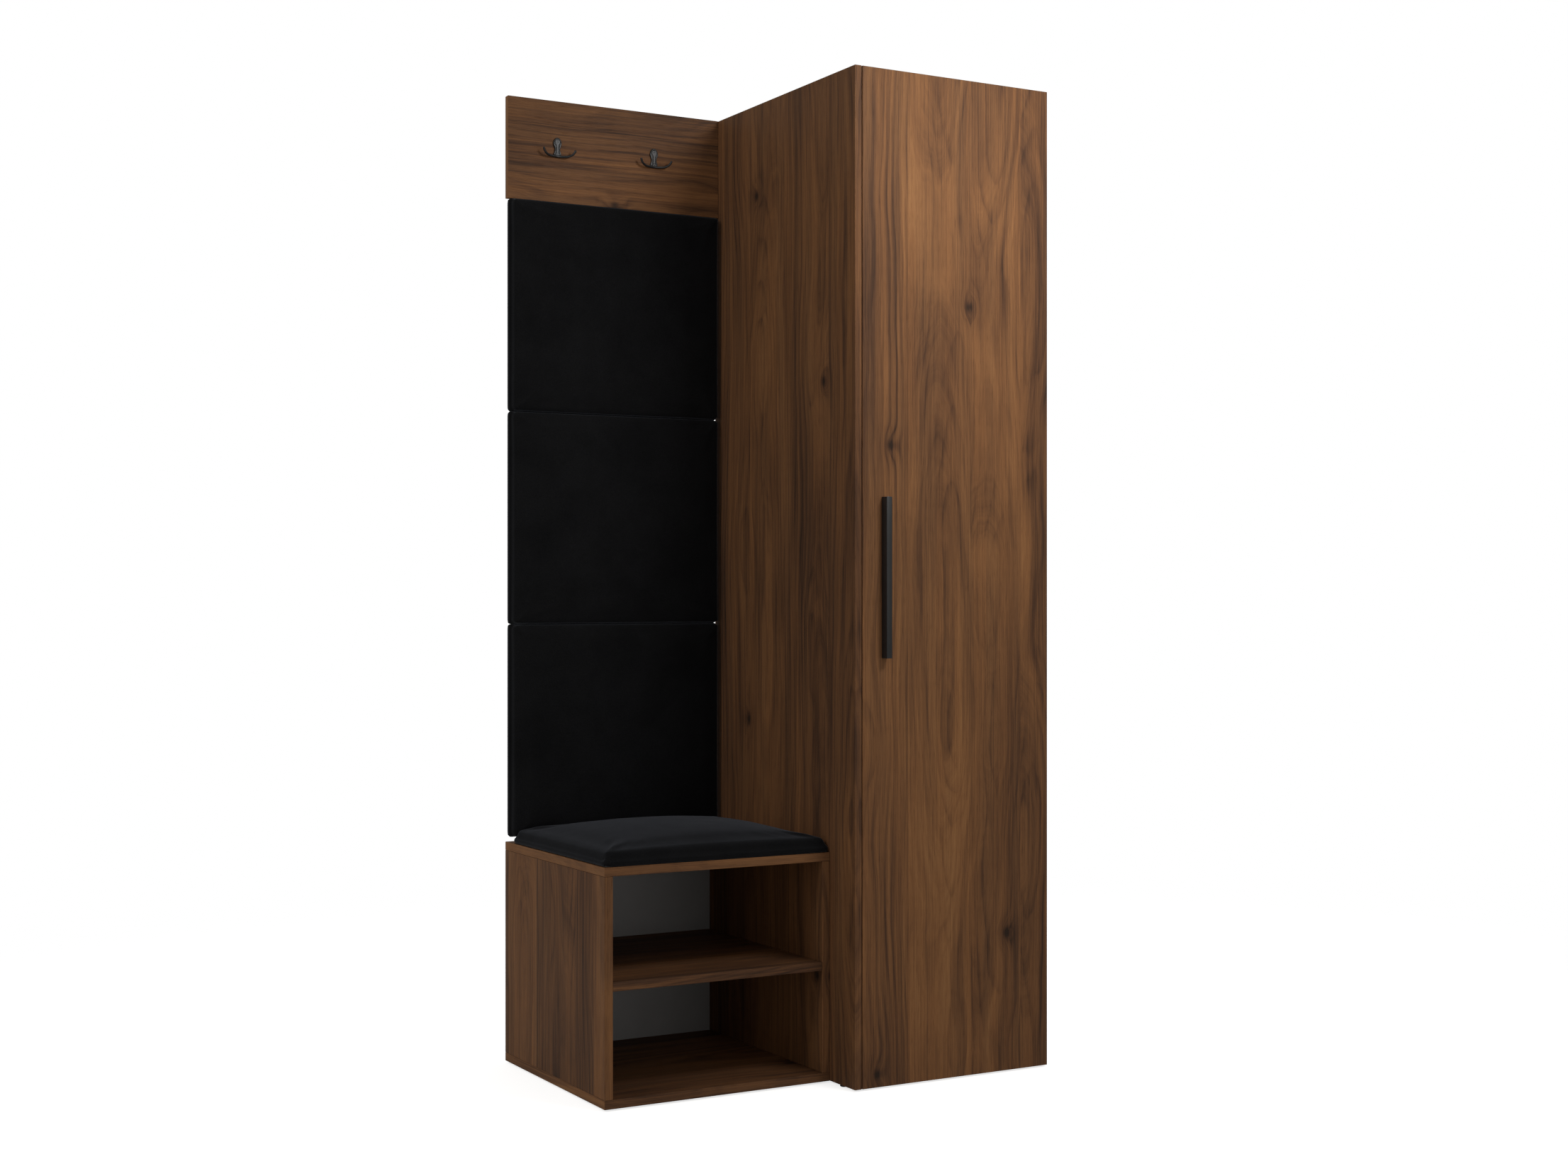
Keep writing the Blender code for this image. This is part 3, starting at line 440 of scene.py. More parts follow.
glide_plastic = moulded("glide_plastic", (0.018, 0.018, 0.018), 0.55)
for number in range(1, 5):
    finish_node(f"bench_glide_{number}", glide_plastic)
    finish_node(f"wardrobe_glide_{number}", glide_plastic)

# ---- Seat cushion ----
# A board with crowned foam on it in a black velvet cover, pulled round the board's edges. It lies
# on the bench's top, flush with its front and ends.

PILE = (0.0058, 0.0058, 0.0062)
COVERED_EDGE = 0.003
SWELL_STEPS = 20
LUMPS_PER_METRE = 22
LUMP_HEIGHT = 0.0004


def velvet_cloth():
    """Short-pile velvet: nearly black, with brushed clouds, a speckled pile and a soft sheen."""
    material, tree, shader, place = new_material("black_velvet")
    clouds = fine_noise(tree, place, 3.0, 0.62, scale=9.0)
    pile = fine_noise(tree, place, 3.0, 0.7, scale=700.0)
    brushed = ramp(tree, clouds, [(0.34, grey(0.82)), (0.62, grey(1.16))])
    speckle = ramp(tree, pile, [(0.30, grey(0.55)), (0.70, grey(1.45))])
    colour = tint(tree, 1.0, brushed, speckle, "MULTIPLY")
    colour = tint(tree, 1.0, colour, (*PILE, 1), "MULTIPLY")
    tree.links.new(colour, shader.inputs["Base Color"])
    shader.inputs["Roughness"].default_value = 0.92
    shader.inputs["Specular IOR Level"].default_value = 0.05
    shader.inputs["Sheen Weight"].default_value = 0.13
    shader.inputs["Sheen Roughness"].default_value = 0.38
    shader.inputs["Sheen Tint"].default_value = (0.80, 0.86, 1.0, 1)
    bump = add_node(tree, "Bump", {"Height": pile, "Strength": 0.45, "Distance": 0.0006})
    tree.links.new(bump.outputs[0], shader.inputs["Normal"])
    return material


velvet = velvet_cloth()


def applied(obj):
    """Turns the object's modifiers into its mesh."""
    graph = bpy.context.evaluated_depsgraph_get()
    mesh = bpy.data.meshes.new_from_object(obj.evaluated_get(graph))
    old = obj.data
    obj.modifiers.clear()
    obj.data = mesh
    bpy.data.meshes.remove(old)


def points_of(mesh):
    flat = np.empty(len(mesh.vertices) * 3, np.float32)
    mesh.vertices.foreach_get("co", flat)
    return flat.reshape(-1, 3)


def stuff(obj, voxel, pressure, most, held, low, high):
    """Lets a cover swell over its foam, as cloth under pressure. No point moves further than
    most, the points for which held is true stay where they are, and what would pass the box
    between low and high is pressed flat there."""
    remesh = obj.modifiers.new("even mesh", "REMESH")
    remesh.mode = "VOXEL"
    remesh.voxel_size = voxel
    remesh.use_smooth_shade = True
    applied(obj)
    start = points_of(obj.data)
    pins = obj.vertex_groups.new(name="held")
    pins.add([n for n, point in enumerate(start) if held(point)], 1.0, "REPLACE")
    cloth = obj.modifiers.new("swell", "CLOTH")
    cloth.settings.vertex_group_mass = "held"
    cloth.settings.quality = 5
    cloth.settings.use_pressure = True
    cloth.settings.uniform_pressure_force = pressure
    cloth.settings.effector_weights.gravity = 0
    scene = bpy.context.scene
    for step in range(1, SWELL_STEPS + 1):
        scene.frame_set(step)
    applied(obj)
    scene.frame_set(1)
    obj.vertex_groups.clear()
    moved = points_of(obj.data) - start
    far = np.linalg.norm(moved, axis=1, keepdims=True)
    start += moved * np.minimum(1, most / np.maximum(far, 1e-9))
    for n, point in enumerate(start):
        if not held(point):
            start[n] += noise.noise_vector(Vector(point) * LUMPS_PER_METRE) * LUMP_HEIGHT
    obj.data.vertices.foreach_set("co", start.ravel())
    finer = obj.modifiers.new("finer", "SUBSURF")
    finer.levels = finer.render_levels = 1
    applied(obj)
    obj.data.vertices.foreach_set("co", np.clip(points_of(obj.data), low, high).ravel())
    obj.data.update()


def between(low, high):
    """The matrix that brings a unit cube to the box between two corners."""
    size = [b - a for a, b in zip(low, high)]
    return Matrix.Translation((Vector(low) + Vector(high)) / 2) @ Matrix.Diagonal((*size, 1))


def soften(bm, edges, width, segments=3):
    return bmesh.ops.bevel(
        bm, geom=edges, offset=width, offset_type="OFFSET", segments=segments, profile=0.5,
        affect="EDGES", material=-1,
    )


def lies_along(edge, axis):
    run = edge.verts[1].co - edge.verts[0].co
    return abs(run[AXES[axis]]) > 0.99 * run.length


def covered_board(name, thin):
    """Pale poplar plywood, sawn and unfinished. The velvet is drawn round its edges."""
    low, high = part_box(name)
    middle, half = (low + high) / 2, (high - low) / 2
    material, tree, shader, place = new_material(name + "_plywood")
    off_centre = add_node(tree, "VectorMath", {0: place, 1: middle}, operation="SUBTRACT").outputs[0]
    reach = add_node(tree, "VectorMath", {0: off_centre}, operation="ABSOLUTE").outputs[0]
    spot = add_node(tree, "SeparateXYZ", {0: reach}).outputs
    first, second = (axis for axis in range(3) if axis != AXES[thin])
    at_edge = calc(
        tree, "MAXIMUM", calc(tree, "GREATER_THAN", spot[first], half[first] - COVERED_EDGE),
        calc(tree, "GREATER_THAN", spot[second], half[second] - COVERED_EDGE),
    )
    lengthwise = add_node(tree, "Mapping", {"Vector": place, "Scale": (3.0, 60.0, 60.0)}).outputs[0]
    grain = fine_noise(tree, lengthwise, 4.0, 0.6)
    wood = ramp(tree, grain, [
        (0.30, (0.360, 0.250, 0.145, 1)), (0.52, (0.500, 0.375, 0.235, 1)), (0.72, (0.590, 0.465, 0.315, 1)),
    ])
    tree.links.new(tint(tree, at_edge, wood, (*PILE, 1)), shader.inputs["Base Color"])
    tree.links.new(calc(tree, "MULTIPLY_ADD", grain, 0.2, 0.6), shader.inputs["Roughness"])
    bump = add_node(tree, "Bump", {"Height": grain, "Strength": 0.2, "Distance": 0.0004})
    tree.links.new(bump.outputs[0], shader.inputs["Normal"])
    return material


def plated(name, colour, roughness):
    """Plated steel or a zinc casting: metal whose gloss varies a little."""
    material, tree, shader, place = new_material(name)
    haze = fine_noise(tree, place, 4.0, 0.65, scale=160.0)
    dull = ramp(tree, haze, [(0.3, shaded(colour, 0.86)), (0.7, shaded(colour, 1.0))])
    tree.links.new(dull, shader.inputs["Base Color"])
    shader.inputs["Metallic"].default_value = 1.0
    tree.links.new(calc(tree, "MULTIPLY_ADD", haze, 0.16, roughness - 0.08), shader.inputs["Roughness"])
    bump = add_node(tree, "Bump", {"Height": haze, "Strength": 0.06, "Distance": 0.0002})
    tree.links.new(bump.outputs[0], shader.inputs["Normal"])
    return material


AIR_PRESSURE = 4.0
SWELL = 0.004
OVERSIZE = 0.0016
RIM_HEIGHT = 0.010
RIM_TAPER = 0.006
CUSHION_CORNER = 0.013
CUSHION_SHOULDER = 0.013
EDGE_HEIGHT = 0.033
CROWN = 0.024
HALF_ROWS = 12


def cut_across(bm, place, normal):
    """A row of edges round the mesh, where a plane meets it."""
    geometry = [*bm.verts, *bm.edges, *bm.faces]
    bmesh.ops.bisect_plane(bm, geom=geometry, plane_co=place, plane_no=normal)


low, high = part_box("seat_cushion")
edge_top = low.z + EDGE_HEIGHT
middle, half = (low + high) / 2, (high - low) / 2
bm = bmesh.new()
spare = Vector((OVERSIZE, OVERSIZE, 0))
bmesh.ops.create_cube(bm, size=1.0, matrix=between(low - spare, Vector((high.x, high.y, edge_top)) + spare))
soften(bm, [e for e in bm.edges if lies_along(e, "z")], CUSHION_CORNER, 5)
rim = [e for e in bm.edges if all(v.co.z > edge_top - 1e-5 for v in e.verts)]
soften(bm, rim, CUSHION_SHOULDER, 5)
for height in (RIM_HEIGHT, RIM_HEIGHT + RIM_TAPER):
    cut_across(bm, (0, 0, low.z + height), (0, 0, 1))
for axis in (0, 1):
    normal = Vector((axis == 0, axis == 1, 0))
    for row in range(1, 2 * HALF_ROWS):
        reach = (row / HALF_ROWS - 1) * (half[axis] - CUSHION_CORNER)
        cut_across(bm, middle + normal * reach, normal)
for vert in bm.verts:
    across_share = min(abs(vert.co.x - middle.x) / half.x, 1)
    along_share = min(abs(vert.co.y - middle.y) / half.y, 1)
    crown = (1 - across_share**2) * (1 - along_share**2)
    drawn_in = SWELL * min(max((vert.co.z - low.z - RIM_HEIGHT) / RIM_TAPER, 0), 1)
    vert.co.x -= (vert.co.x - middle.x) / half.x * drawn_in
    vert.co.y -= (vert.co.y - middle.y) / half.y * drawn_in
    rise = (vert.co.z - low.z) / EDGE_HEIGHT
    vert.co.z += CROWN * crown * rise
cushion = mesh_piece("velvet_seat_cushion", bm)
stuff(cushion, 0.006, AIR_PRESSURE, SWELL, lambda point: point[2] < low.z + RIM_HEIGHT, low, high)
cushion.data.materials.append(velvet)
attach(cushion, "root")
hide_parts("seat_cushion")

finish_node("seat_base_board", covered_board("seat_base_board", "z"))

# ---- Wall panels ----
# Three boards with 30 mm of flat foam in velvet covers, hung on the wall with their ends touching.
# Each cover is pulled tight round its board, folded over its rear and stapled.

PANEL_SWELL = 0.003
PANEL_RIM = 0.012
PANEL_CORNER = 0.0085
PANEL_SHOULDER = 0.009
PULL_IN = 0.001
PRESSED_PAST = 0.00028
POCKET_PLAY = 0.0003
TURN_OVER = 0.034
HEM = 0.0007
HEM_GAP = 0.0002
STAPLE_FROM_CORNER = 0.03
STAPLE_STEP = 0.045
STAPLE_WIDTH = 0.010
STAPLE_WIRE = 0.0005

staple_wire = plated("staple_wire", (0.62, 0.62, 0.60), 0.30)


def cut(obj, cutters):
    """Takes the cutters, which are unfinished bmeshes, out of an object."""
    for bm in cutters:
        cutter = mesh_piece("cutter", bm)
        hollow = obj.modifiers.new("hollow", "BOOLEAN")
        hollow.operation = "DIFFERENCE"
        hollow.object = cutter
        applied(obj)
        bpy.data.objects.remove(cutter)


def block(low, high):
    bm = bmesh.new()
    bmesh.ops.create_cube(bm, size=1.0, matrix=between(low, high))
    return bm


def velvet_panel(number):
    low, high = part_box(f"wall_panel_pad_{number}")
    front = low.y + PANEL_SWELL
    middle, half = (low + high) / 2, (high - low) / 2
    spare = Vector((OVERSIZE, 0, OVERSIZE))
    bm = block(Vector((low.x, front, low.z)) - spare, high + spare)
    soften(bm, [e for e in bm.edges if lies_along(e, "y")], PANEL_CORNER, 5)
    soften(bm, [e for e in bm.edges if all(v.co.y < front + 1e-5 for v in e.verts)], PANEL_SHOULDER, 5)
    for depth in (PANEL_RIM, PANEL_RIM + RIM_TAPER):
        cut_across(bm, (0, high.y - depth, 0), (0, 1, 0))
    for row in range(1, 2 * HALF_ROWS):
        reach = (row / HALF_ROWS - 1) * (half.z - PANEL_CORNER)
        cut_across(bm, (0, 0, middle.z + reach), (0, 0, 1))
    for vert in bm.verts:
        side = (vert.co.x - middle.x) / half.x
        upward = (vert.co.z - middle.z) / half.z
        drawn_in = min(max((high.y - vert.co.y - PANEL_RIM) / RIM_TAPER, 0), 1)
        vert.co.x -= (PANEL_SWELL + PULL_IN * (1 - upward**4)) * side * drawn_in
    pad = mesh_piece(f"velvet_wall_panel_{number}", bm)
    past = Vector((0, 0, PRESSED_PAST))
    stuff(
        pad, 0.005, AIR_PRESSURE, PANEL_SWELL, lambda point: point[1] > high.y - PANEL_RIM,
        low - past, high + past,
    )
    # The pocket for the board is open towards the wall.
    board_low, board_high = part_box(f"wall_panel_board_{number}")
    play = Vector((POCKET_PLAY, POCKET_PLAY, POCKET_PLAY))
    cut(pad, [block(board_low - play, board_high + play + Vector((0, 0.01, 0)))])
    pad.data.materials.append(velvet)
    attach(pad, "root")
    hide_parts(f"wall_panel_pad_{number}")
    finish_node(f"wall_panel_board_{number}", covered_board(f"wall_panel_board_{number}", "y"))
    turned_hem(number, board_low, board_high)


def turned_hem(number, low, high):
    """The cover's hem on the board's rear, with mitred corners, and its staples."""
    rear = high.y + HEM_GAP
    outer_low, outer_high = Vector((low.x, rear, low.z)), Vector((high.x, rear + HEM, high.z))
    bm = block(outer_low, outer_high)
    outside = [f for f in bm.faces if abs(f.normal.y) > 0.9]
    rings = bmesh.ops.inset_region(bm, faces=outside, thickness=TURN_OVER, use_even_offset=True)
    openings = [f for f in outside if f not in rings["faces"]]
    edges = [e for f in openings for e in f.edges]
    bmesh.ops.delete(bm, geom=openings, context="FACES_ONLY")
    bmesh.ops.bridge_loops(bm, edges=edges)
    soften(bm, [e for e in bm.edges if not lies_along(e, "y")], HEM * 0.3, 2)
    hem = mesh_piece(f"turned_hem_{number}", bm)
    hem.data.materials.append(velvet)
    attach(hem, "root")
    bm = bmesh.new()
    line = TURN_OVER * 0.55
    for axis, other in (("x", "z"), ("z", "x")):
        first = getattr(low, axis) + STAPLE_FROM_CORNER
        last = getattr(high, axis) - STAPLE_FROM_CORNER
        count = round((last - first) / STAPLE_STEP)
        for staple in range(count + 1):
            for side in (getattr(low, other) + line, getattr(high, other) - line):
                place = Vector((0, rear + HEM, 0))
                setattr(place, axis, first + (last - first) * staple / count)
                setattr(place, other, side)
                reach = Vector((STAPLE_WIRE, STAPLE_WIRE, STAPLE_WIRE)) / 2
                setattr(reach, axis, STAPLE_WIDTH / 2)
                bmesh.ops.create_cube(bm, size=1.0, matrix=between(place - reach, place + reach))
    staples = mesh_piece(f"hem_staples_{number}", bm)
    rounded = staples.modifiers.new("drawn wire", "BEVEL")
    rounded.width = STAPLE_WIRE * 0.3
    rounded.segments = 2
    staples.data.materials.append(staple_wire)
    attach(staples, "root")


for number in (1, 2, 3):
    velvet_panel(number)

# ---- Hook panel ----
# A walnut-laminated board with horizontal grain and banded edges. It is fixed to the wall above
# the velvet panels and carries the two coat hooks.

finish_node("hook_panel", laminate("hook_panel", "x", "z", "y", 6.15, 1.77))

# ---- Coat hooks and their screws ----
# Die-cast double hooks with a keyhole-shaped plate, in satin black, and two black countersunk
# cross-recess screws in each.

black_coat = moulded("satin_black_coat", (0.0085, 0.0085, 0.0088), 0.42)
black_coat.node_tree.nodes["Principled BSDF"].inputs["Specular IOR Level"].default_value = 0.45
HOOK_RIM = 0.0008
RIM_PATH = 0.0068
HOOK_HEAD = 0.0350
HOOK_FOOT = 0.0085
BORE_RADIUS = 0.0018
SINK_RADIUS = 0.0036


def curve_mesh(name, points, depth=0.0, extrude=0.0, closed=False, grow=0.0):
    """The mesh of a smooth curve through points, each a place or a place with its own radius."""
    data = bpy.data.curves.new(name, "CURVE")
    data.dimensions = "2D" if closed else "3D"
    data.fill_mode = "BOTH" if closed else "FULL"
    data.resolution_u = 10
    data.bevel_depth = depth
    data.bevel_resolution = 3
    data.extrude = extrude
    data.offset = grow
    data.use_fill_caps = True
    spline = data.splines.new("BEZIER")
    spline.bezier_points.add(len(points) - 1)
    for point, place in zip(spline.bezier_points, points):
        point.co = place[:3]
        point.radius = place[3] if len(place) > 3 else 1.0
        point.handle_left_type = point.handle_right_type = "AUTO"
    spline.use_cyclic_u = closed
    obj = bpy.data.objects.new(name, data)
    bpy.context.scene.collection.objects.link(obj)
    graph = bpy.context.evaluated_depsgraph_get()
    mesh = bpy.data.meshes.new_from_object(obj.evaluated_get(graph))
    bpy.data.objects.remove(obj)
    return mesh


def add_mesh(bm, mesh, matrix=Matrix.Identity(4)):
    """Adds a copy of a mesh to a bmesh, moved by the matrix, with its caps welded."""
    mesh.transform(matrix)
    bm.from_mesh(mesh)
    bmesh.ops.remove_doubles(bm, verts=bm.verts, dist=0.000005)


def cone(bm, foot_radius, head_radius, foot, head, segments=32):
    """A round bar or cone between two points, with its ends closed."""
    foot, head = Vector(foot), Vector(head)
    run = head - foot
    turn = run.to_track_quat("Z", "Y").to_matrix().to_4x4()
    return bmesh.ops.create_cone(
        bm, cap_ends=True, segments=segments, radius1=foot_radius, radius2=head_radius,
        depth=run.length, matrix=Matrix.Translation((foot + head) / 2) @ turn,
    )


def hook_casting():
    """A hook with its foot at the origin and its back in the XZ plane, facing -Y."""
    toward_room = Matrix.Rotation(radians(90), 4, "X")
    thickness = 0.0036
    outline = [
        (0, 0.0445, 0), (0.0094, 0.0350, 0), (0.0062, 0.0185, 0), (0.0080, 0.0050, 0),
        (0, 0.0004, 0), (-0.0080, 0.0050, 0), (-0.0062, 0.0185, 0), (-0.0094, 0.0350, 0),
    ]
    edge = 0.0010
    plate = curve_mesh("plate", outline, edge, thickness / 2 - edge, closed=True, grow=-edge)
    bm = bmesh.new()
    add_mesh(bm, plate, toward_room @ Matrix.Translation((0, 0, thickness / 2)))
    half = [
        (0.0, 0.0030, 0.0034, 1.15), (0.0120, 0.0052, 0.0032, 1.06), (0.0250, 0.0092, 0.0047, 1.0),
        (0.0335, 0.0130, 0.0098, 0.98), (0.0374, 0.0152, 0.0165, 0.98), (0.0382, 0.0157, 0.0183, 0.70),
    ]
    course = [(-x, -y, z, share) for x, y, z, share in half[:0:-1]]
    course += [(x, -y, z, share) for x, y, z, share in half]
    add_mesh(bm, curve_mesh("arms", course, 0.0026))
    # A raised rim round the head and a ridge down the waist to the arms.
    turns = [(sin(step * pi / 8), cos(step * pi / 8)) for step in range(-5, 6)]
    rim = [(RIM_PATH * x, -thickness, HOOK_HEAD + RIM_PATH * z) for x, z in turns]
    add_mesh(bm, curve_mesh("rim", rim, HOOK_RIM))
    for side in (-1, 1):
        ridge = [(side * x, -y, z) for x, y, z in (
            (0.0062, thickness, 0.0325), (0.0038, thickness, 0.0270), (0.0032, thickness, 0.0190),
            (0.0040, thickness, 0.0110), (0.0062, thickness - 0.0004, 0.0060),
        )]
        add_mesh(bm, curve_mesh("ridge", ridge, HOOK_RIM))
    casting = mesh_piece("casting", bm)
    blend = casting.modifiers.new("casting", "REMESH")
    blend.mode = "VOXEL"
    blend.voxel_size = 0.00045
    blend.use_smooth_shade = True
    relax = casting.modifiers.new("soft corners", "SMOOTH")
    relax.factor = 0.5
    relax.iterations = 4
    applied(casting)
    bores = bmesh.new()
    for height in (HOOK_FOOT, HOOK_HEAD):
        cone(bores, BORE_RADIUS, BORE_RADIUS, (0, 0.002, height), (0, -0.0025, height))
        cone(bores, BORE_RADIUS, SINK_RADIUS, (0, -0.0019, height), (0, -0.0042, height))
    cut(casting, [bores])
    return casting


def cross_screw(name, head_place, direction, head_radius, head_depth, shank, length, finish):
    """A screw with a cross recess. Its head's top is at head_place, and it points along direction.
    A head_depth below zero makes a pan head that stands on its place."""
    direction = Vector(direction)
    top = Vector(head_place)
    bm = bmesh.new()
    if head_depth > 0:
        cone(bm, shank, head_radius, top + direction * head_depth, top)
        recess_top = top
    else:
        made = cone(bm, head_radius, head_radius * 0.82, top, top + direction * head_depth, 40)
        edges = {e for v in made["verts"] for e in v.link_edges}
        soften(bm, [e for e in edges if e.calc_length() < head_radius * 0.3], -head_depth * 0.3, 3)
        recess_top = top + direction * head_depth
    screw = mesh_piece(name, bm)
    turn = direction.to_track_quat("-Z", "Y").to_matrix().to_4x4()
    for quarter in (0, 90):
        bm = bmesh.new()
        wing = Matrix.Diagonal((head_radius * 1.15, head_radius * 0.28, abs(head_depth) * 1.1, 1))
        place = Matrix.Translation(recess_top) @ turn @ Matrix.Rotation(radians(quarter), 4, "Z")
        bmesh.ops.create_cube(bm, size=1.0, matrix=place @ wing)
        cut(screw, [bm])
    bm = bmesh.new()
    bm.from_mesh(screw.data)
    reach = top + direction * max(head_depth, 0)
    cone(bm, shank, shank * 0.98, reach + direction * (length - shank), reach - direction * shank * 0.2, 16)
    cone(bm, 0.0002, shank, reach + direction * length, reach + direction * (length - shank), 16)
    bm.to_mesh(screw.data)
    bm.free()
    screw.data.materials.append(finish)
    return screw


casting = hook_casting()
for number in (1, 2):
    low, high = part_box(f"coat_hook_{number}")
    hook = casting.copy()
    hook.data = casting.data.copy()
    hook.name = f"double_hook_{number}"
    bpy.context.scene.collection.objects.link(hook)
    hook.data.transform(Matrix.Translation(((low.x + high.x) / 2, high.y, low.z)))
    hook.data.materials.append(black_coat)
    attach(hook, "root")
    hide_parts(f"coat_hook_{number}")
bpy.data.objects.remove(casting)
for number in range(1, 5):
    low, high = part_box(f"hook_screw_{number}")
    top = ((low.x + high.x) / 2, low.y, (low.z + high.z) / 2)
    length = high.y - low.y - 0.0015
    screw = cross_screw(
        f"hook_wood_screw_{number}", top, (0, 1, 0), 0.0031, 0.0015, 0.0015, length, black_coat
    )
    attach(screw, "root")
    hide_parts(f"hook_screw_{number}")

# ---- Wardrobe boards ----
# The same laminated chipboard, 16 mm thick. The left side comes forward to the door's face, and
# the bottom and the top lie between the sides.

for board, start in {
    "wardrobe_side_left": (5.90, 7.37), "wardrobe_side_right": (7.90, 5.45),
}.items():
    finish_node(board, laminate(board, "z", "y", "x", *start, raw_rear=True))
for board, start in {
    "wardrobe_bottom": (8.70, 6.20), "wardrobe_top": (9.40, 7.15), "lower_shelf": (10.2, 8.05),
    "hat_shelf": (11.3, 9.10),
}.items():
    finish_node(board, laminate(board, "x", "y", "z", *start, raw_rear=True))

# ---- Wardrobe back ----
# The same hardboard as in the bench's back, in grooves in the two sides, the bottom and the top.
# Its raw face is towards the wall.

finish_node("wardrobe_back", hardboard("wardrobe_back"))

# ---- Hanging rail ----
# A chromed steel tube across the wardrobe under the hat shelf. It is held in two die-cast zinc
# sockets, which are fixed to the wardrobe's sides.

chrome = plated("chrome", (0.74, 0.74, 0.74), 0.12)
zinc = plated("zinc_plate", (0.50, 0.51, 0.52), 0.32)


def ring(bm, outer, inner, foot, head, segments=48):
    """A tube between two points with open ends, closed by its wall's rings."""
    foot, head = Vector(foot), Vector(head)
    run = head - foot
    turn = run.to_track_quat("Z", "Y").to_matrix().to_4x4()
    loops = []
    for radius, place in ((outer, foot), (outer, head), (inner, head), (inner, foot)):
        made = bmesh.ops.create_circle(
            bm, segments=segments, radius=radius, matrix=Matrix.Translation(place) @ turn
        )
        loops.append({e for v in made["verts"] for e in v.link_edges})
    for first, second in zip(loops, loops[1:] + loops[:1]):
        bmesh.ops.bridge_loops(bm, edges=[*first, *second])


def smoothed(piece, angle=35):
    piece.data.shade_smooth()
    piece.data.set_sharp_from_angle(angle=radians(angle))


RAIL_WALL = 0.0015
RAIL_PLAY = 0.0003
COLLAR_WALL = 0.002
FLANGE = 0.003
FLANGE_EDGE = 0.0010

low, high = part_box("hanging_rail")
middle = (low + high) / 2
rail_radius = (high.z - low.z) / 2
bm = bmesh.new()
left_end, right_end = (low.x, middle.y, middle.z), (high.x, middle.y, middle.z)
ring(bm, rail_radius, rail_radius - RAIL_WALL, left_end, right_end, 64)
rail = mesh_piece("chromed_rail", bm)
smoothed(rail)
rail.data.materials.append(chrome)
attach(rail, "root")
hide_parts("hanging_rail")

for side, inward in (("left", 1), ("right", -1)):
    low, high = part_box(f"rail_socket_{side}")
    root = Vector((low.x if inward > 0 else high.x, middle.y, middle.z))
    flange_radius = (high.z - low.z) / 2
    depth = high.x - low.x
    way = Vector((inward, 0, 0))
    collar = rail_radius + RAIL_PLAY
    bm = bmesh.new()
    ring(bm, collar + COLLAR_WALL, collar, root + way * (FLANGE - 0.0002), root + way * depth)
    made = cone(bm, flange_radius, flange_radius, root, root + way * FLANGE, 48)
    edges = {e for v in made["verts"] for e in v.link_edges}
    outer = [e for e in edges if all(abs(v.co.x - root.x) > FLANGE / 2 for v in e.verts)]
    soften(bm, outer, FLANGE_EDGE, 3)
    socket = mesh_piece(f"die_cast_socket_{side}", bm)
    smoothed(socket)
    socket.data.materials.append(zinc)
    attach(socket, "root")
    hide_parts(f"rail_socket_{side}")

# ---- Wall bracket ----
# A steel angle under the top board, with one screw into the board and one into the wall, so that
# the wardrobe can't tip.

ANGLE_STEEL = 0.002
SCREW_FROM_EDGE = 0.012
BRACKET_HEAD = 0.0043

finish_node("wall_bracket", zinc)
low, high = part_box("wall_bracket")
middle = (low + high) / 2
for name, place, direction in (
    ("bracket_board_screw", (middle.x, low.y + SCREW_FROM_EDGE, high.z - ANGLE_STEEL), (0, 0, 1)),
    ("bracket_wall_screw", (middle.x, high.y - ANGLE_STEEL, low.z + SCREW_FROM_EDGE), (0, 1, 0)),
):
    screw = cross_screw(name, place, direction, BRACKET_HEAD, -0.0025, 0.0019, 0.008, zinc)
    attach(screw, "root")

# ---- Door ----
# One full-height board with vertical grain and banded edges, bored for four hinge cups and for the
# handle's screws. Two soft dots keep it off the carcass.

finish_node("door", laminate("door", "z", "x", "y", 12.6, 12.62))
dot_plastic = moulded("clear_dot_plastic", (0.50, 0.50, 0.48), 0.35)
for number in (1, 2):
    finish_node(f"door_bumper_{number}", dot_plastic)

# ---- Door handle ----
# A plain square bar of black coated aluminium that stands on the door's face along its whole
# length, held by two pan-head machine screws from inside.

LONG_EDGE = 0.0012
END_EDGE = 0.0005
PAN_HEAD = 0.0042
PAN_HEIGHT = 0.0022

low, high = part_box("door_handle")
bm = block(low, high)
long_edges = [e for e in bm.edges if lies_along(e, "z")]
soften(bm, long_edges, LONG_EDGE, 4)
ends = [e for e in bm.edges if abs(e.verts[0].co.z - e.verts[1].co.z) < 1e-6]
soften(bm, ends, END_EDGE, 2)
handle = mesh_piece("black_bar_handle", bm)
smoothed(handle)
handle.data.materials.append(black_coat)
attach(handle, "door")
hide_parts("door_handle")
for number in (1, 2):
    low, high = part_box(f"handle_screw_{number}")
    place = ((low.x + high.x) / 2, high.y - PAN_HEIGHT, (low.z + high.z) / 2)
    length = place[1] - low.y
    screw = cross_screw(
        f"handle_machine_screw_{number}", place, (0, -1, 0), PAN_HEAD, -PAN_HEIGHT, 0.0018, length, zinc
    )
    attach(screw, "door")
    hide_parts(f"handle_screw_{number}")

# ---- Hinges ----
# Four concealed hinges: a pressed cup bored into the door, a bent link on the cup's pin, and an
# arm on the wardrobe's right side. The cup's two wings, the plate and the arm have two screws each.

WING_LENGTH = 0.012
WING_WIDTH = 0.0115
WING_SCREW = 0.0065
WING_TIP = WING_WIDTH * 0.42
WING_STEEL = 0.0008
PLATE_STEEL = 0.002
PLATE_SCREW_SPREAD = 0.016
PLATE_SCREW_INSET = 0.018
ARM_SCREW_INSETS = (0.009, 0.026)
HINGE_HEAD = 0.0031
HINGE_SCREW = 0.012


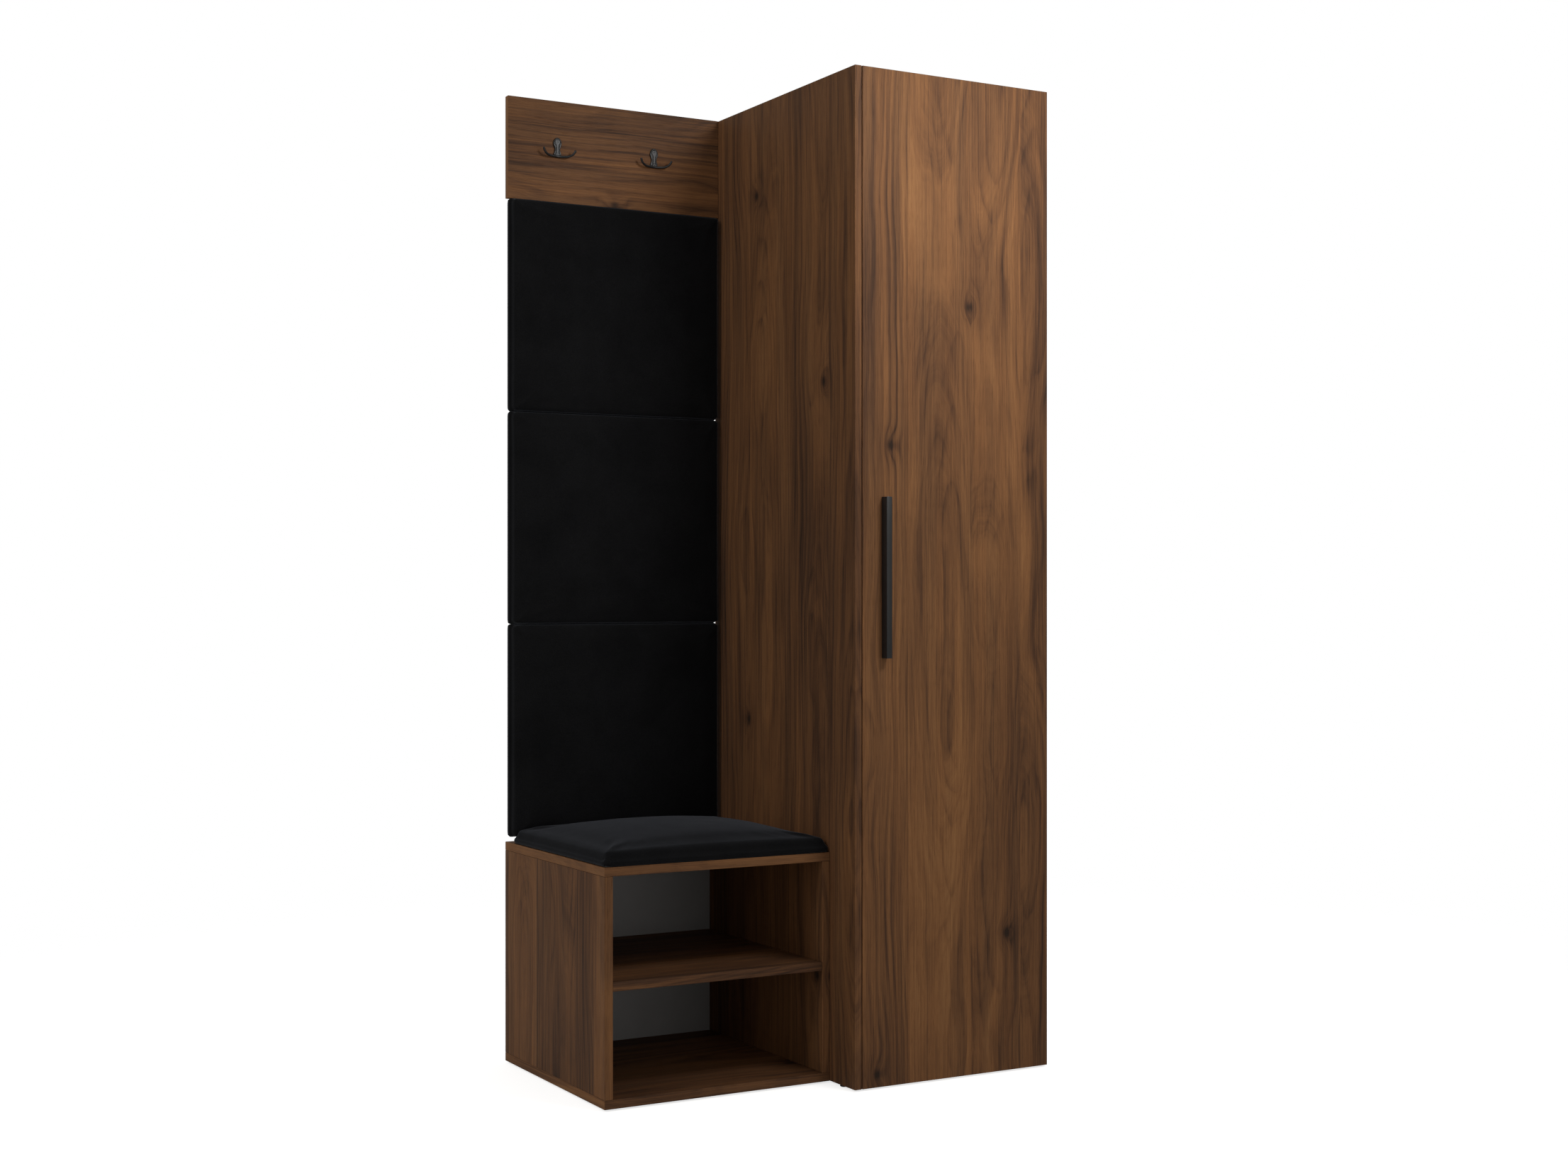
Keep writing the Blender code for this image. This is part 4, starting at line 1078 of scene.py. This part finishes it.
def grouped(name, template, places, turn, body):
    """Copies of a screw, which points down at the origin, turned and put at each place."""
    bm = bmesh.new()
    for place in places:
        part = template.data.copy()
        part.transform(Matrix.Translation(place) @ turn)
        bm.from_mesh(part)
        bpy.data.meshes.remove(part)
    group = mesh_piece(name, bm)
    smoothed(group)
    group.data.materials.append(zinc)
    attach(group, body)


def cup_wings(name, low, high):
    """The pressed wings over and under a cup's rim, which lie on the door's inner face."""
    middle = (low + high) / 2
    bm = bmesh.new()
    for upward in (-1, 1):
        rim = high.z if upward > 0 else low.z
        near = (middle.x - WING_WIDTH / 2, high.y - WING_STEEL, rim - upward * 0.0012)
        far = (middle.x + WING_WIDTH / 2, high.y - 0.0001, rim + upward * WING_LENGTH)
        made = bmesh.ops.create_cube(bm, size=1.0, matrix=between(near, far))
        edges = {e for v in made["verts"] for e in v.link_edges}
        tips = [e for e in edges if lies_along(e, "y") and abs(e.verts[0].co.z - far[2]) < 1e-6]
        soften(bm, tips, WING_TIP, 8)
    wings = mesh_piece(name, bm)
    smoothed(wings)
    wings.data.materials.append(zinc)
    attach(wings, "door")


down = (0, 0, -1)
door_screw = cross_screw("door_screw", (0, 0, 0), down, HINGE_HEAD, -0.0009, 0.0014, HINGE_SCREW, zinc)
side_screw = cross_screw("side_screw", (0, 0, 0), down, HINGE_HEAD, -0.0018, 0.0016, HINGE_SCREW, zinc)
into_door = Matrix.Rotation(radians(-90), 4, "X")
into_side = Matrix.Rotation(radians(-90), 4, "Y")
for number in range(1, 5):
    for piece in ("cup", "link", "arm"):
        finish_node(f"hinge_{piece}_{number}", zinc)
    low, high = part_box(f"hinge_cup_{number}")
    cup_wings(f"hinge_cup_wings_{number}", low, high)
    cup_x = (low.x + high.x) / 2
    on_wings = [(cup_x, high.y - 0.0001, z) for z in (low.z - WING_SCREW, high.z + WING_SCREW)]
    grouped(f"hinge_cup_screws_{number}", door_screw, on_wings, into_door, "door")
    low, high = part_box(f"hinge_arm_{number}")
    height = (low.z + high.z) / 2
    on_plate = [
        (high.x - PLATE_STEEL, high.y - PLATE_SCREW_INSET, height + side * PLATE_SCREW_SPREAD)
        for side in (-1, 1)
    ]
    grouped(f"hinge_plate_screws_{number}", side_screw, on_plate, into_side, "root")
    on_arm = [(low.x, high.y - inset, height) for inset in ARM_SCREW_INSETS]
    grouped(f"hinge_arm_screws_{number}", side_screw, on_arm, into_side, "root")
for template in (door_screw, side_screw):
    bpy.data.objects.remove(template)
